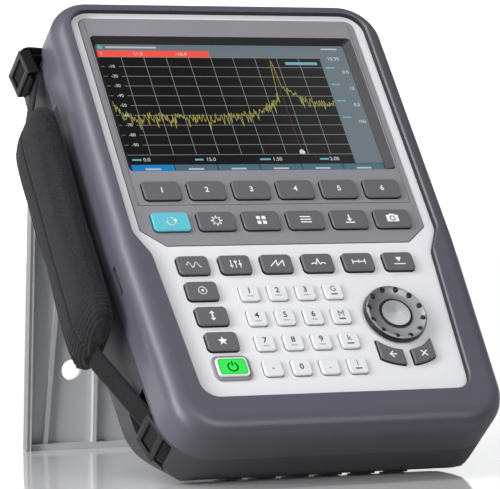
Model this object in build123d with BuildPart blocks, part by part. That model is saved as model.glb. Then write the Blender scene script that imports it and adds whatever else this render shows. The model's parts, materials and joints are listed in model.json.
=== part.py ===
"""Handheld network analyzer on its rear stand: housing halves, keys, knob, hand strap and inner pieces."""

import os
from math import acos, asin, atan2, cos, degrees, hypot, radians, sin, sqrt

from build123d import *

# Everything is drawn in the case's own frame, in millimetres: X to the right, Y up the case from its
# bottom edge, Z out of the front, with zero on the white keypad face. One placement at the end leans it back.

# Display: the visible screen sets the face of the case, and the face sets the case
screen_half_w = 76.4
screen_h = 91.9
window_slope_side = 4.0
window_slope_low = 1.8
window_slope_high = 2.1
window_corner = 2.5
groove_side = 1.2
groove_over = 9.5
groove_w = 0.7
groove_depth = 0.4
panel_border = 2.9

# Thicknesses and heights out of the white face
crest_z = 4.0
parting_z = -21.0
back_z = -72.0
pocket_floor_z = -4.0
wall = 3.2
fascia_t = 3.0
panel_top_z = 0.4
panel_back_z = -4.2
panel_seam = 0.4
fit_gap = 0.3

# Bumper lip around the face
lip_side = 6.0
lip_over = 4.2
lip_bottom_y = 23.3
lip_step = 7.3
lip_taper = 5.6
lip_corner_top = 13.0
lip_corner_bottom = 10.0
lip_waist_blend = 9.0
lip_edge = 0.8
lip_cover = 1.6
panel_cut_x = 12.5
panel_cut_y = 10.5
panel_corner = 5.0
panel_soft = 2.0

# Case
bumper_side = 10.5
bumper_over = 8.4
case_taper = 5.2
case_corner_top = 24.0
case_corner_bottom = 27.0
case_waist_blend = 120.0
front_round = 9.5
back_round = 14.0
bottom_round = 46.0

# Keys
key_gap = 0.35
key_travel = 1.0
key_top_z = 2.2
key_edge = 0.5
key_corner = 2.4
key_lip = 0.8
key_bottom_z = -5.2
panel_key_lip_z = -4.4
fascia_key_lip_z = -3.2
key_lip_t = 1.0
plunger_w = 4.0
soft_key_h = 12.5
soft_key_space = 4.89
soft_key_side = 7.775
soft_key_below_window = 14.4
mode_key_step = 21.1
mode_key_rise = 14.95
func_key_h = 12.0
func_key_space = 6.31
func_key_side = 13.425
func_key_step = 18.7
side_key_in = 23.0
side_key_rise = 19.2
side_key_step_x = 1.3
side_key_step_y = 16.4
number_key_h = 10.2
number_key_space = 5.6
number_key_corner = 2.0
number_key_rise = 18.0
number_pitch_y = 16.2
number_block_left = 12.5
number_block_right = 7.9
number_key_top_z = 1.6
power_rim_w = 3.0
power_rim_z = 1.2

# Knob, its push button, and the two keys below it
knob_in = 36.0
knob_drop = 17.3
knob_r = 18.0
knob_base_z = 0.6
knob_top_z = 5.2
knob_dish_r = 16.4
knob_pocket_r = 8.4
knob_dish_z = 3.4
knob_pocket_z = 2.0
knob_dimples = 12
knob_dimple_r = 1.6
knob_dimple_circle = 15.4
knob_dimple_depth = 1.6
spindle_r = 3.0
spindle_clear = 0.05
spindle_low_z = -6.5
button_clear = 0.3
button_low_z = 3.0
button_edge_z = 4.1
button_crown_z = 4.8
arc_key_inner_gap = 4.5
arc_key_depth = 9.5
back_key_left = -16.2
back_key_right = -2.3
cancel_key_left = 2.7
cancel_key_right = 16.4

# Face across: screen, window, panel, lip, case
window_half_w = screen_half_w + window_slope_side
groove_x = window_half_w + groove_side
panel_half_w = groove_x + panel_border
lip_half_w = panel_half_w + lip_side
lip_half_w_waist = lip_half_w - lip_step
lip_half_w_bottom = lip_half_w_waist - lip_taper
case_half_w = lip_half_w + bumper_side
case_half_w_bottom = case_half_w - case_taper
case_reach = case_half_w + case_half_w_bottom
soft_key_w = (2 * panel_half_w - 2 * soft_key_side - 5 * soft_key_space) / 6
soft_key_pitch = soft_key_w + soft_key_space
func_key_w = (2 * lip_half_w_waist - 2 * func_key_side - 5 * func_key_space) / 6
func_key_pitch = func_key_w + func_key_space
side_key_x = side_key_in - lip_half_w_waist
knob_x = lip_half_w_waist - knob_in
number_left = side_key_x + func_key_w / 2 + number_block_left
number_right = knob_x - knob_r - number_block_right
number_key_w = (number_right - number_left - 3 * number_key_space) / 4
number_key_x = number_left + number_key_w / 2
number_pitch_x = number_key_w + number_key_space
button_r = knob_pocket_r - button_clear
arc_key_inner_r = knob_r + arc_key_inner_gap
arc_key_outer_r = arc_key_inner_r + arc_key_depth

# Face upwards from the bumper's lower lip
number_key_y = lip_bottom_y + number_key_rise + 3 * number_pitch_y
side_key_y = lip_bottom_y + side_key_rise + 3 * side_key_step_y
knob_y = number_key_y - knob_drop
func_key_y = number_key_y + func_key_step
lip_waist_low_y = func_key_y + 6.9
panel_low_y = func_key_y + 14.15
case_waist_y = panel_low_y + 1.25
lip_waist_high_y = panel_low_y + 7.75
mode_key_y = panel_low_y + mode_key_rise
soft_key_y = mode_key_y + mode_key_step
groove_low_y = mode_key_y + 12.05
window_low_y = soft_key_y + soft_key_below_window
screen_low_y = window_low_y + window_slope_low
screen_high_y = screen_low_y + screen_h
window_high_y = screen_high_y + window_slope_high
groove_high_y = window_high_y + groove_over
panel_high_y = groove_high_y + panel_border
lip_top_y = panel_high_y + lip_over
case_h = lip_top_y + bumper_over

# Side tab and slot on the left of the front bumper
tab_drop = 26.0
tab_h = 31.0
tab_back_z = -27.0
slot_low_y = 99.2
slot_high_y = 116.8
slot_z = -10.5
slot_w = 3.6
slot_depth = 2.0
tab_high_y = case_h - tab_drop
tab_low_y = tab_high_y - tab_h

# Display module, key mat, boards and battery
lcd_border = 5.6
lcd_under = 6.0
lcd_over = 6.6
lcd_face_z = -4.4
lcd_frame_z = -4.7
lcd_back_z = -8.7
mat_side = 4.2
mat_under = 9.7
mat_over = 8.2
mat_back_z = -9.4
mat_top_z = -7.4
mat_rest_gap = 0.2
mat_pad_w = 5.0
board_border = 5.6
board_under = 6.7
board_over = 2.4
board_front_z = -9.6
board_t = 1.6
can_w = 62.0
can_h = 84.0
can_t = 7.5
can_x = 38.0
upper_can_drop = 104.0
lower_can_rise = 55.0
encoder_w = 14.0
encoder_top_z = -3.4
bushing_r = 4.6
bushing_top_z = -0.2
bushing_clear = 0.4
lcd_half_w = screen_half_w + lcd_border
lcd_low_y = screen_low_y - lcd_under
lcd_high_y = screen_high_y + lcd_over
mat_half_w = lip_half_w_waist - mat_side
mat_low_y = lip_bottom_y + mat_under
mat_high_y = soft_key_y + mat_over
board_half_w = screen_half_w + board_border
board_low_y = lip_bottom_y + board_under
board_high_y = panel_high_y - board_over
upper_can_y = board_high_y - upper_can_drop
lower_can_y = board_low_y + lower_can_rise

# Rear shell
shell_wall = 3.0
low_corner_r = 31.0
low_corner_side = 1.8
low_corner_over = 1.0
bay_low_y = 73.2
bay_over = 15.2
bay_side = 8.4
bay_floor_z = -64.4
bay_ledge_z = -59.4
bay_wall = 4.0
door_half_w = 46.0
door_rise = 18.8
door_drop = 40.8
door_t = 1.8
door_gap = 0.25
door_grip_w = 34.0
door_grip_h = 9.0
door_grip_depth = 0.8
battery_side = 6.0
battery_end = 10.0
battery_back_z = -60.2
battery_front_z = -40.2
foot_count = 6
foot_pitch = 19.5
foot_w = 9.75
foot_rise = 0.9
foot_sweep = 18.0
bay_high_y = case_h - bay_over
bay_half_w = case_half_w - bay_side
door_low_y = bay_low_y + door_rise
door_high_y = bay_high_y - door_drop
battery_half_w = door_half_w - battery_side
battery_low_y = door_low_y + battery_end
battery_high_y = door_high_y - battery_end

# Screws
screw_r = 1.5
screw_len = 12.0
screw_head_r = 2.9
screw_head_t = 1.6
screw_clear = 0.15
boss_r = 4.4
top_screw_in = 7.0
top_screw_drop = 6.6
low_screw_in = 23.8
low_screw_y = 13.0
case_screw_seat_z = -30.0
screw_well_r = 3.3
door_screw_in = 12.0
door_screw_end = 4.2
door_boss_z = -50.0
top_screw_x = case_half_w - case_corner_top - top_screw_in
top_screw_y = case_h - top_screw_drop
low_screw_x = case_half_w_bottom - low_screw_in
door_screw_x = door_half_w - door_screw_in
door_screw_low_y = door_low_y + door_screw_end
door_screw_high_y = door_high_y - door_screw_end

# Stand
stand_plate_t = 3.0
stand_flange_t = 2.6
stand_flange_gap = 0.4
stand_flange_z = -62.0
stand_edge_round = 4.0
stand_top = 4.5
stand_foot_gap = 1.1
stand_foot_t = 3.5
stand_foot_z = -65.0
stand_hole_r = 6.0
stand_hole_rise = 45.4
stand_hole_xs = (43.3, 66.7)
stand_rib_w = 2.4
stand_rib_t = 3.2
stand_inner_rib_x = 52.8
stand_outer_rib_low_in = 11.3
stand_outer_rib_high_in = 24.1
stand_rib_top = 9.0
hinge_drop = 7.8
hinge_z = -66.0
ear_r = 4.6
ear_w = 4.6
ear_notch = 7.0
pin_r = 2.0
pin_clear = 0.05
pin_seat_clear = 0.02
pin_inner_gap = 0.4
pin_outer_gap = 0.2
stand_half_w = bay_half_w + stand_flange_gap + stand_flange_t
stand_outer_rib_low_x = stand_half_w - stand_outer_rib_low_in
stand_outer_rib_high_x = stand_half_w - stand_outer_rib_high_in
hinge_y = bay_high_y - hinge_drop
stand_foot_y = bay_low_y + stand_foot_gap
stand_length = hinge_y - stand_foot_y
pin_inner_x = bay_half_w - ear_w + pin_inner_gap
pin_outer_x = stand_half_w - pin_outer_gap

# Hand strap
strap_out = 12.5
strap_z = -35.0
web_w = 16.0
web_t = 1.6
pad_low_y = 78.0
pad_drop = 61.0
pad_w = 42.0
pad_t = 14.0
pad_end_w = 30.0
pad_end_t = 7.0
pad_draw = 16.0
pad_slot_gap = 0.3
channel_r = 0.9
channel_back = 12.0
channel_front = 2.0
bar_r = 1.6
bar_clear = 0.05
bar_len = 28.4
bar_front_z = -21.6
upper_bar_in = 7.5
upper_bar_drop = 14.5
lower_bar_in = 11.8
lower_bar_y = 14.5
wrap_r = 2.7
anchor_w = 24.0
anchor_end_t = 4.5
layer_gap = 3.4
buckle_w = 22.5
buckle_h = 16.0
buckle_rail = 2.8
buckle_bar = 3.6
buckle_inner = -1.0
buckle_outer = 5.8
buckle_skin = 0.3
upper_buckle_out = 5.4
upper_buckle_drop = 23.0
upper_buckle_angle = 98.0
lower_buckle_in = 4.8
lower_buckle_y = 26.0
lower_buckle_angle = 108.0
upper_exit_angle = 175.0
lower_exit_angle = 150.0
inner_bend = 3.4
outer_bend = 7.0
pad_bend = 6.0
pad_lead = 3.0
upper_tail_length = 3.0
lower_tail_length = 1.5
strap_x = -case_half_w - strap_out
pad_high_y = case_h - pad_drop
upper_bar = (upper_bar_in - case_half_w, case_h - upper_bar_drop)
lower_bar = (lower_bar_in - case_half_w_bottom, lower_bar_y)
upper_buckle = (-case_half_w - upper_buckle_out, case_h - upper_buckle_drop)
lower_buckle = (lower_buckle_in - case_half_w_bottom, lower_buckle_y)

# Recess round each strap bar, and the block inside that closes it: in from the bar, under it, over it
upper_recess = (5.0, 8.5, 5.5)
lower_recess = (4.0, 4.2, 33.0)
upper_block = (9.0, 12.0, 9.0)
lower_block = (9.0, 15.0, 37.0)

# Radio ports on the top edge
port_x = 45.0
port_z = -40.0
port_r = 7.95
port_len = 11.0
port_nut_r = 10.6
port_nut_t = 4.0
port_bore_r = 4.3
port_bore_depth = 9.0
port_pin_r = 1.5
port_neck_r = 6.4
port_neck_len = 18.0
port_hole_clear = 0.2

# Standing pose
lean = 39.0
box_mid_x = -9.75
box_mid_back = 120.2

os.makedirs("parts", exist_ok=True)


def level(z):
    """Plane facing the front at height z."""
    return Plane.XY.offset(z)


def side(x):
    """Plane facing right at x, drawn with Y to the right and Z up."""
    return Plane(origin=(x, 0, 0), x_dir=(0, 1, 0), z_dir=(1, 0, 0))


def across(x, y, z):
    """Plane facing up the case at a point, drawn with X to the right and the back of the case up."""
    return Plane(origin=(x, y, z), x_dir=(1, 0, 0), z_dir=(0, 1, 0))


def case_outline(inset=0.0):
    """Front outline of the case: tapered below the waist, round corners."""
    with BuildSketch() as outline:
        with BuildLine():
            Polyline(
                (-case_half_w_bottom, 0),
                (case_half_w_bottom, 0),
                (case_half_w, case_waist_y),
                (case_half_w, case_h),
                (-case_half_w, case_h),
                (-case_half_w, case_waist_y),
                close=True,
            )
        make_face()
        fillet(outline.vertices().group_by(Axis.Y)[-1], case_corner_top)
        fillet(outline.vertices().group_by(Axis.Y)[1], case_waist_blend)
        fillet(outline.vertices().group_by(Axis.Y)[0], case_corner_bottom)
        if inset:
            offset(amount=-inset, mode=Mode.REPLACE)
    return outline.sketch


def lip_outline(grow=0.0):
    """Inner outline of the bumper's lip, stepped in at the waist."""
    with BuildSketch() as outline:
        with BuildLine():
            Polyline(
                (-lip_half_w_bottom, lip_bottom_y),
                (lip_half_w_bottom, lip_bottom_y),
                (lip_half_w_waist, lip_waist_low_y),
                (lip_half_w, lip_waist_high_y),
                (lip_half_w, lip_top_y),
                (-lip_half_w, lip_top_y),
                (-lip_half_w, lip_waist_high_y),
                (-lip_half_w_waist, lip_waist_low_y),
                close=True,
            )
        make_face()
        fillet(outline.vertices().group_by(Axis.Y)[-1], lip_corner_top)
        fillet(outline.vertices().group_by(Axis.Y)[2], lip_waist_blend)
        fillet(outline.vertices().group_by(Axis.Y)[1], lip_waist_blend)
        fillet(outline.vertices().group_by(Axis.Y)[0], lip_corner_bottom)
        if grow:
            offset(amount=grow, mode=Mode.REPLACE)
    return outline.sketch


def panel_outline(grow=0.0):
    """Outline of the dark display panel, cut across at its lower corners."""
    with BuildSketch() as outline:
        with BuildLine():
            Polyline(
                (-panel_half_w + panel_cut_x, panel_low_y),
                (panel_half_w - panel_cut_x, panel_low_y),
                (panel_half_w, panel_low_y + panel_cut_y),
                (panel_half_w, panel_high_y),
                (-panel_half_w, panel_high_y),
                (-panel_half_w, panel_low_y + panel_cut_y),
                close=True,
            )
        make_face()
        fillet(outline.vertices().group_by(Axis.Y)[-1], panel_corner)
        fillet(outline.vertices().group_by(Axis.Y)[1], panel_soft)
        fillet(outline.vertices().group_by(Axis.Y)[0], panel_soft)
        if grow:
            offset(amount=grow, mode=Mode.REPLACE)
    return outline.sketch


def key_face(x, y, wide, high, corner, grow=0.0):
    """Rounded rectangle of one key, grown by a clearance."""
    with BuildSketch() as face:
        with Locations((x, y)):
            RectangleRounded(wide + 2 * grow, high + 2 * grow, corner + grow)
    return face.sketch


def arc_key_face(left, right, grow=0.0):
    """Face of a key that follows the knob: ring sector between two upright sides."""
    low = -arc_key_outer_r - 5
    with BuildSketch() as face:
        with Locations((knob_x, knob_y)):
            Circle(arc_key_outer_r + grow)
            Circle(arc_key_inner_r - grow, mode=Mode.SUBTRACT)
            with Locations(((left + right) / 2, low / 2)):
                Rectangle(right - left + 2 * grow, -low, mode=Mode.INTERSECT)
    return face.sketch


# Every key: name, x, y, width, height, corner, and which plate it comes through
keys = []
for i in range(6):
    x = (i - 2.5) * soft_key_pitch
    keys.append((f"soft_key_{i + 1}", x, soft_key_y, soft_key_w, soft_key_h, key_corner, "panel"))
for i, name in enumerate(("preset", "setup", "mode", "lines", "save", "camera")):
    x = (i - 2.5) * soft_key_pitch
    keys.append((f"{name}_key", x, mode_key_y, soft_key_w, soft_key_h, key_corner, "panel"))
for i, name in enumerate(("frequency", "config", "sweep", "trace", "measure", "marker")):
    x = (i - 2.5) * func_key_pitch
    keys.append((f"{name}_key", x, func_key_y, func_key_w, func_key_h, key_corner, "fascia"))
for i, name in enumerate(("cal", "scale", "wizard", "power")):
    x = side_key_x + i * side_key_step_x
    y = side_key_y - i * side_key_step_y
    keys.append((f"{name}_key", x, y, func_key_w, func_key_h, key_corner, "fascia"))
number_names = (
    ("one", "two", "three", "giga"),
    ("four", "five", "six", "mega"),
    ("seven", "eight", "nine", "kilo"),
    ("sign", "zero", "point", "unit"),
)
for row, names in enumerate(number_names):
    for column, name in enumerate(names):
        x = number_key_x + column * number_pitch_x
        y = number_key_y - row * number_pitch_y
        keys.append((f"{name}_key", x, y, number_key_w, number_key_h, number_key_corner, "number"))
power_x = side_key_x + 3 * side_key_step_x
power_y = side_key_y - 3 * side_key_step_y
arc_keys = (
    ("back_key", back_key_left, back_key_right),
    ("cancel_key", cancel_key_left, cancel_key_right),
)

# Screw places: case screws seat deep in wells, door screws on the battery door
case_screws = (
    (-top_screw_x, top_screw_y),
    (top_screw_x, top_screw_y),
    (-low_screw_x, low_screw_y),
    (low_screw_x, low_screw_y),
)
door_screws = (
    (-door_screw_x, door_screw_low_y),
    (door_screw_x, door_screw_low_y),
    (-door_screw_x, door_screw_high_y),
    (door_screw_x, door_screw_high_y),
)

# Front bumper: ring with a lip over the face, side tab, and bosses for the case screws
with BuildPart() as front_bumper:
    with BuildSketch(level(parting_z)):
        add(case_outline())
    extrude(amount=crest_z - parting_z)
    fillet(front_bumper.faces().sort_by(Axis.Z)[-1].edges(), front_round)
    with BuildSketch(level(parting_z)):
        add(case_outline(wall))
    extrude(amount=pocket_floor_z - parting_z, mode=Mode.SUBTRACT)
    with BuildSketch(level(pocket_floor_z)):
        add(lip_outline(lip_cover + fit_gap))
    extrude(amount=-pocket_floor_z, mode=Mode.SUBTRACT)
    with BuildSketch(level(0)):
        add(lip_outline())
    extrude(amount=crest_z, mode=Mode.SUBTRACT)
    with BuildSketch(level(crest_z - lip_edge)):
        add(lip_outline())
    extrude(amount=lip_edge, taper=-45, mode=Mode.SUBTRACT)
    with BuildSketch(level(parting_z)):
        with Locations(*case_screws):
            Circle(boss_r)
    extrude(amount=pocket_floor_z - parting_z)
    with BuildSketch(level(parting_z)):
        with Locations(*case_screws):
            Circle(screw_r + screw_clear)
    extrude(amount=screw_len, mode=Mode.SUBTRACT)
    with BuildSketch(level(tab_back_z)):
        add(case_outline())
        add(case_outline(wall), mode=Mode.SUBTRACT)
        with Locations((-case_half_w, (tab_low_y + tab_high_y) / 2)):
            Rectangle(4 * wall, tab_high_y - tab_low_y, mode=Mode.INTERSECT)
    extrude(amount=parting_z - tab_back_z)
    with Locations((-case_half_w, (slot_low_y + slot_high_y) / 2, slot_z)):
        Box(2 * slot_depth, slot_high_y - slot_low_y, slot_w, mode=Mode.SUBTRACT)

# Keypad fascia: white face with the panel opening, key holes, knob hole and power key rim
with BuildPart() as keypad_fascia:
    with BuildSketch(level(-fascia_t)):
        add(lip_outline(lip_cover))
        add(panel_outline(panel_seam), mode=Mode.SUBTRACT)
    extrude(amount=fascia_t)
    with BuildSketch(level(0)):
        add(key_face(power_x, power_y, func_key_w, func_key_h, key_corner, power_rim_w / 2 + key_gap))
    extrude(amount=power_rim_z)
    chamfer(keypad_fascia.faces().sort_by(Axis.Z)[-1].edges(), key_edge)
    with BuildSketch(level(-fascia_t)):
        for name, x, y, wide, high, corner, plate in keys:
            if plate != "panel":
                add(key_face(x, y, wide, high, corner, key_gap))
        for name, left, right in arc_keys:
            add(arc_key_face(left, right, key_gap))
        with Locations((knob_x, knob_y)):
            Circle(bushing_r + bushing_clear)
    extrude(amount=fascia_t + power_rim_z, mode=Mode.SUBTRACT)

# Display panel: dark plate with a sloped window, two rows of key holes and a thin frame groove
with BuildPart() as display_panel:
    with BuildSketch(level(panel_back_z)):
        add(panel_outline())
    extrude(amount=panel_top_z - panel_back_z)
    with BuildSketch(level(panel_back_z)):
        with Locations((0, (screen_low_y + screen_high_y) / 2)):
            RectangleRounded(2 * screen_half_w, screen_high_y - screen_low_y, window_corner)
    with BuildSketch(level(panel_top_z)):
        with Locations((0, (window_low_y + window_high_y) / 2)):
            RectangleRounded(2 * window_half_w, window_high_y - window_low_y, window_corner)
    loft(mode=Mode.SUBTRACT)
    with BuildSketch(level(panel_back_z)):
        for name, x, y, wide, high, corner, plate in keys:
            if plate == "panel":
                add(key_face(x, y, wide, high, corner, key_gap))
    extrude(amount=panel_top_z - panel_back_z, mode=Mode.SUBTRACT)
    with BuildSketch(level(panel_top_z - groove_depth)):
        with Locations((0, (groove_low_y + groove_high_y) / 2)):
            Rectangle(2 * groove_x, groove_high_y - groove_low_y)
            Rectangle(2 * groove_x - 2 * groove_w, groove_high_y - groove_low_y, mode=Mode.SUBTRACT)
        with Locations((0, groove_low_y)):
            Rectangle(2 * groove_x, groove_w)
    extrude(amount=groove_depth, mode=Mode.SUBTRACT)

# Display module: framed flat display behind the window
with BuildPart() as lcd_module:
    with BuildSketch(level(lcd_back_z)):
        with Locations((0, (lcd_low_y + lcd_high_y) / 2)):
            Rectangle(2 * lcd_half_w, lcd_high_y - lcd_low_y)
    extrude(amount=lcd_frame_z - lcd_back_z)
    with BuildSketch(level(lcd_frame_z)):
        with Locations((0, (screen_low_y + screen_high_y) / 2)):
            Rectangle(2 * screen_half_w + 2, screen_high_y - screen_low_y + 2)
    extrude(amount=lcd_face_z - lcd_frame_z)

# Key mat: soft sheet with one pad under each key, open around the encoder
with BuildPart() as key_mat:
    with BuildSketch(level(mat_back_z)):
        with Locations((0, (mat_low_y + mat_high_y) / 2)):
            Rectangle(2 * mat_half_w, mat_high_y - mat_low_y)
        with Locations((knob_x, knob_y)):
            Rectangle(encoder_w + 1, encoder_w + 1, mode=Mode.SUBTRACT)
    extrude(amount=mat_top_z - mat_back_z)
    with BuildSketch(level(mat_top_z)):
        for name, x, y, wide, high, corner, plate in keys:
            with Locations((x, y)):
                Rectangle(mat_pad_w, mat_pad_w)
        for name, left, right in arc_keys:
            with Locations((knob_x + (left + right) / 2, knob_y - (arc_key_inner_r + arc_key_outer_r) / 2)):
                Rectangle(mat_pad_w, mat_pad_w)
    extrude(amount=key_bottom_z - key_travel - mat_rest_gap - mat_top_z)

# Main board with its shield cans
with BuildPart() as main_board:
    with BuildSketch(level(board_front_z - board_t)):
        with Locations((0, (board_low_y + board_high_y) / 2)):
            Rectangle(2 * board_half_w, board_high_y - board_low_y)
    extrude(amount=board_t)
    with BuildSketch(level(board_front_z - board_t)):
        with Locations((-can_x, upper_can_y), (can_x, upper_can_y), (-can_x, lower_can_y)):
            Rectangle(can_w, can_h)
    extrude(amount=-can_t)
    chamfer(main_board.faces().sort_by(Axis.Z).group_by(Axis.Z)[0].edges(), 1)

# Rotary encoder on the board, with a bushing up to the fascia
with BuildPart() as rotary_encoder:
    with BuildSketch(level(board_front_z)):
        with Locations((knob_x, knob_y)):
            Rectangle(encoder_w, encoder_w)
    extrude(amount=encoder_top_z - board_front_z)
    with BuildSketch(level(encoder_top_z)):
        with Locations((knob_x, knob_y)):
            Circle(bushing_r)
    extrude(amount=bushing_top_z - encoder_top_z)
    with BuildSketch(level(spindle_low_z - spindle_clear * 4)):
        with Locations((knob_x, knob_y)):
            Circle(spindle_r + spindle_clear)
    extrude(amount=bushing_top_z - spindle_low_z + 1, mode=Mode.SUBTRACT)

# Tuning knob: dished face with a ring of finger dimples, centre pocket, spindle below
with BuildPart() as tuning_knob:
    with BuildSketch(Plane(origin=(knob_x, knob_y, 0), x_dir=(1, 0, 0), z_dir=(0, -1, 0))):
        with BuildLine():
            Polyline(
                (0, spindle_low_z),
                (spindle_r, spindle_low_z),
                (spindle_r, knob_base_z),
                (knob_r - 0.8, knob_base_z),
                (knob_r, knob_base_z + 0.8),
                (knob_r - 0.4, knob_top_z - 0.9),
                (knob_dish_r, knob_top_z),
            )
            SagittaArc((knob_dish_r, knob_top_z), (knob_pocket_r, knob_dish_z), 0.9)
            Polyline(
                (knob_pocket_r, knob_dish_z),
                (knob_pocket_r, knob_pocket_z),
                (0, knob_pocket_z),
                (0, spindle_low_z),
            )
        make_face()
    revolve(axis=Axis((knob_x, knob_y, 0), (0, 0, 1)))
    with Locations((knob_x, knob_y, knob_top_z)):
        with PolarLocations(knob_dimple_circle, knob_dimples, start_angle=15):
            Cylinder(knob_dimple_r, 2 * knob_dimple_depth, mode=Mode.SUBTRACT)

# Push button in the middle of the knob, domed
dome_rise = button_crown_z - button_edge_z
dome_r = (button_r**2 + dome_rise**2) / (2 * dome_rise)
dome_half = asin(button_r / dome_r) / 2
with BuildPart() as knob_button:
    with BuildSketch(Plane(origin=(knob_x, knob_y, 0), x_dir=(1, 0, 0), z_dir=(0, -1, 0))):
        with BuildLine():
            Polyline(
                (0, button_crown_z),
                (0, button_low_z),
                (button_r, button_low_z),
                (button_r, button_edge_z),
            )
            ThreePointArc(
                (button_r, button_edge_z),
                (dome_r * sin(dome_half), button_crown_z - dome_r * (1 - cos(dome_half))),
                (0, button_crown_z),
            )
        make_face()
    revolve(axis=Axis((knob_x, knob_y, 0), (0, 0, 1)))


def make_key(x, y, wide, high, corner, plate):
    """One key: cap through its plate, retaining lip behind it, plunger down to the mat."""
    lip_z = panel_key_lip_z if plate == "panel" else fascia_key_lip_z
    top_z = number_key_top_z if plate == "number" else key_top_z
    with BuildPart() as key:
        with BuildSketch(level(lip_z)):
            add(key_face(x, y, wide, high, corner))
        extrude(amount=top_z - lip_z)
        chamfer(key.faces().sort_by(Axis.Z)[-1].edges(), key_edge)
        lip_low = key_bottom_z if plate == "panel" else lip_z - key_lip_t
        with BuildSketch(level(lip_low)):
            with Locations((x, y)):
                Rectangle(wide + 2 * key_lip, high + 2 * key_lip)
        extrude(amount=lip_z - lip_low)
        if plate != "panel":
            with BuildSketch(level(key_bottom_z)):
                with Locations((x, y)):
                    Rectangle(plunger_w, plunger_w)
            extrude(amount=lip_low - key_bottom_z)
    return key


def make_arc_key(left, right):
    """One of the two keys that follow the knob's edge."""
    with BuildPart() as key:
        with BuildSketch(level(fascia_key_lip_z)):
            add(arc_key_face(left, right))
        extrude(amount=key_top_z - fascia_key_lip_z)
        chamfer(key.faces().sort_by(Axis.Z)[-1].edges(), key_edge)
        with BuildSketch(level(fascia_key_lip_z - key_lip_t)):
            add(arc_key_face(left, right, key_lip))
        extrude(amount=key_lip_t)
        with BuildSketch(level(key_bottom_z)):
            with Locations((knob_x + (left + right) / 2, knob_y - (arc_key_inner_r + arc_key_outer_r) / 2)):
                Rectangle(plunger_w, plunger_w)
        extrude(amount=fascia_key_lip_z - key_lip_t - key_bottom_z)
    return key


# Strap webbing: one band from the upper anchor bar, through the pad, to the lower anchor bar
def aim(angle, length=1.0):
    """Step of a given length at an angle in the front view."""
    return (length * cos(radians(angle)), length * sin(radians(angle)))


def beside(place, angle, along, out):
    """Point near a strap fitting, measured up the strap and out from its main layer."""
    step = aim(angle, along)
    turn = aim(angle + 90, out)
    return (place[0] + step[0] + turn[0], place[1] + step[1] + turn[1])


def meet(first, first_angle, second, second_angle):
    """Point where two sloping lines of the strap path cross."""
    u = aim(first_angle)
    v = aim(second_angle)
    gap = (second[0] - first[0], second[1] - first[1])
    reach = (gap[0] * v[1] - gap[1] * v[0]) / (u[0] * v[1] - u[1] * v[0])
    return (first[0] + reach * u[0], first[1] + reach * u[1])


upper_inner = beside(upper_bar, upper_exit_angle, 0, wrap_r)
upper_outer = beside(upper_bar, upper_exit_angle, 0, -wrap_r)
lower_inner = beside(lower_bar, lower_exit_angle, 0, -wrap_r)
lower_outer = beside(lower_bar, lower_exit_angle, 0, wrap_r)
upper_tail = beside(upper_buckle, upper_buckle_angle, 0, layer_gap)
lower_tail = beside(lower_buckle, lower_buckle_angle, 0, layer_gap)
with BuildPart() as strap_webbing:
    with BuildSketch(level(strap_z - web_w / 2)):
        with BuildLine():
            FilletPolyline(
                beside(upper_buckle, upper_buckle_angle, -buckle_h / 2 - upper_tail_length, layer_gap),
                meet(upper_outer, upper_exit_angle, upper_tail, upper_buckle_angle),
                upper_outer,
                radius=outer_bend,
            )
            ThreePointArc(upper_outer, beside(upper_bar, upper_exit_angle, -wrap_r, 0), upper_inner)
            FilletPolyline(
                upper_inner,
                meet(upper_inner, upper_exit_angle, upper_buckle, upper_buckle_angle),
                beside(upper_buckle, upper_buckle_angle, -buckle_h / 2 - pad_lead, 0),
                (strap_x, pad_high_y + pad_lead),
                (strap_x, pad_low_y - pad_lead),
                beside(lower_buckle, lower_buckle_angle, buckle_h / 2 + pad_lead, 0),
                meet(lower_inner, lower_exit_angle, lower_buckle, lower_buckle_angle),
                lower_inner,
                radius=(inner_bend, pad_bend, pad_bend, pad_bend, pad_bend, inner_bend),
            )
            ThreePointArc(lower_inner, beside(lower_bar, lower_exit_angle, -wrap_r, 0), lower_outer)
            FilletPolyline(
                lower_outer,
                meet(lower_outer, lower_exit_angle, lower_tail, lower_buckle_angle),
                beside(lower_buckle, lower_buckle_angle, buckle_h / 2 + lower_tail_length, layer_gap),
                radius=outer_bend,
            )
        trace(line_width=web_t)
    extrude(amount=web_w)

# Padded handle: crowned sleeve with drawn-in ends, long channels and a slot for the webbing
with BuildPart() as padded_handle:
    for y, wide, thick in (
        (pad_low_y, pad_end_w, pad_end_t),
        (pad_low_y + pad_draw, pad_w, pad_t),
        (pad_high_y - pad_draw, pad_w, pad_t),
        (pad_high_y, pad_end_w, pad_end_t),
    ):
        with BuildSketch(across(strap_x, y, strap_z)):
            RectangleRounded(thick, wide, thick * 0.45)
    loft(ruled=True)
    with Locations((strap_x, (pad_low_y + pad_high_y) / 2, strap_z)):
        Box(
            web_t + 2 * pad_slot_gap,
            pad_high_y - pad_low_y + 2,
            web_w + 2 * pad_slot_gap,
            mode=Mode.SUBTRACT,
        )
    for z in (strap_z - channel_back, strap_z + channel_front):
        with BuildSketch(across(strap_x - pad_t / 2, pad_low_y, z)):
            Circle(channel_r)
        extrude(amount=pad_high_y - pad_low_y, mode=Mode.SUBTRACT)

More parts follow.
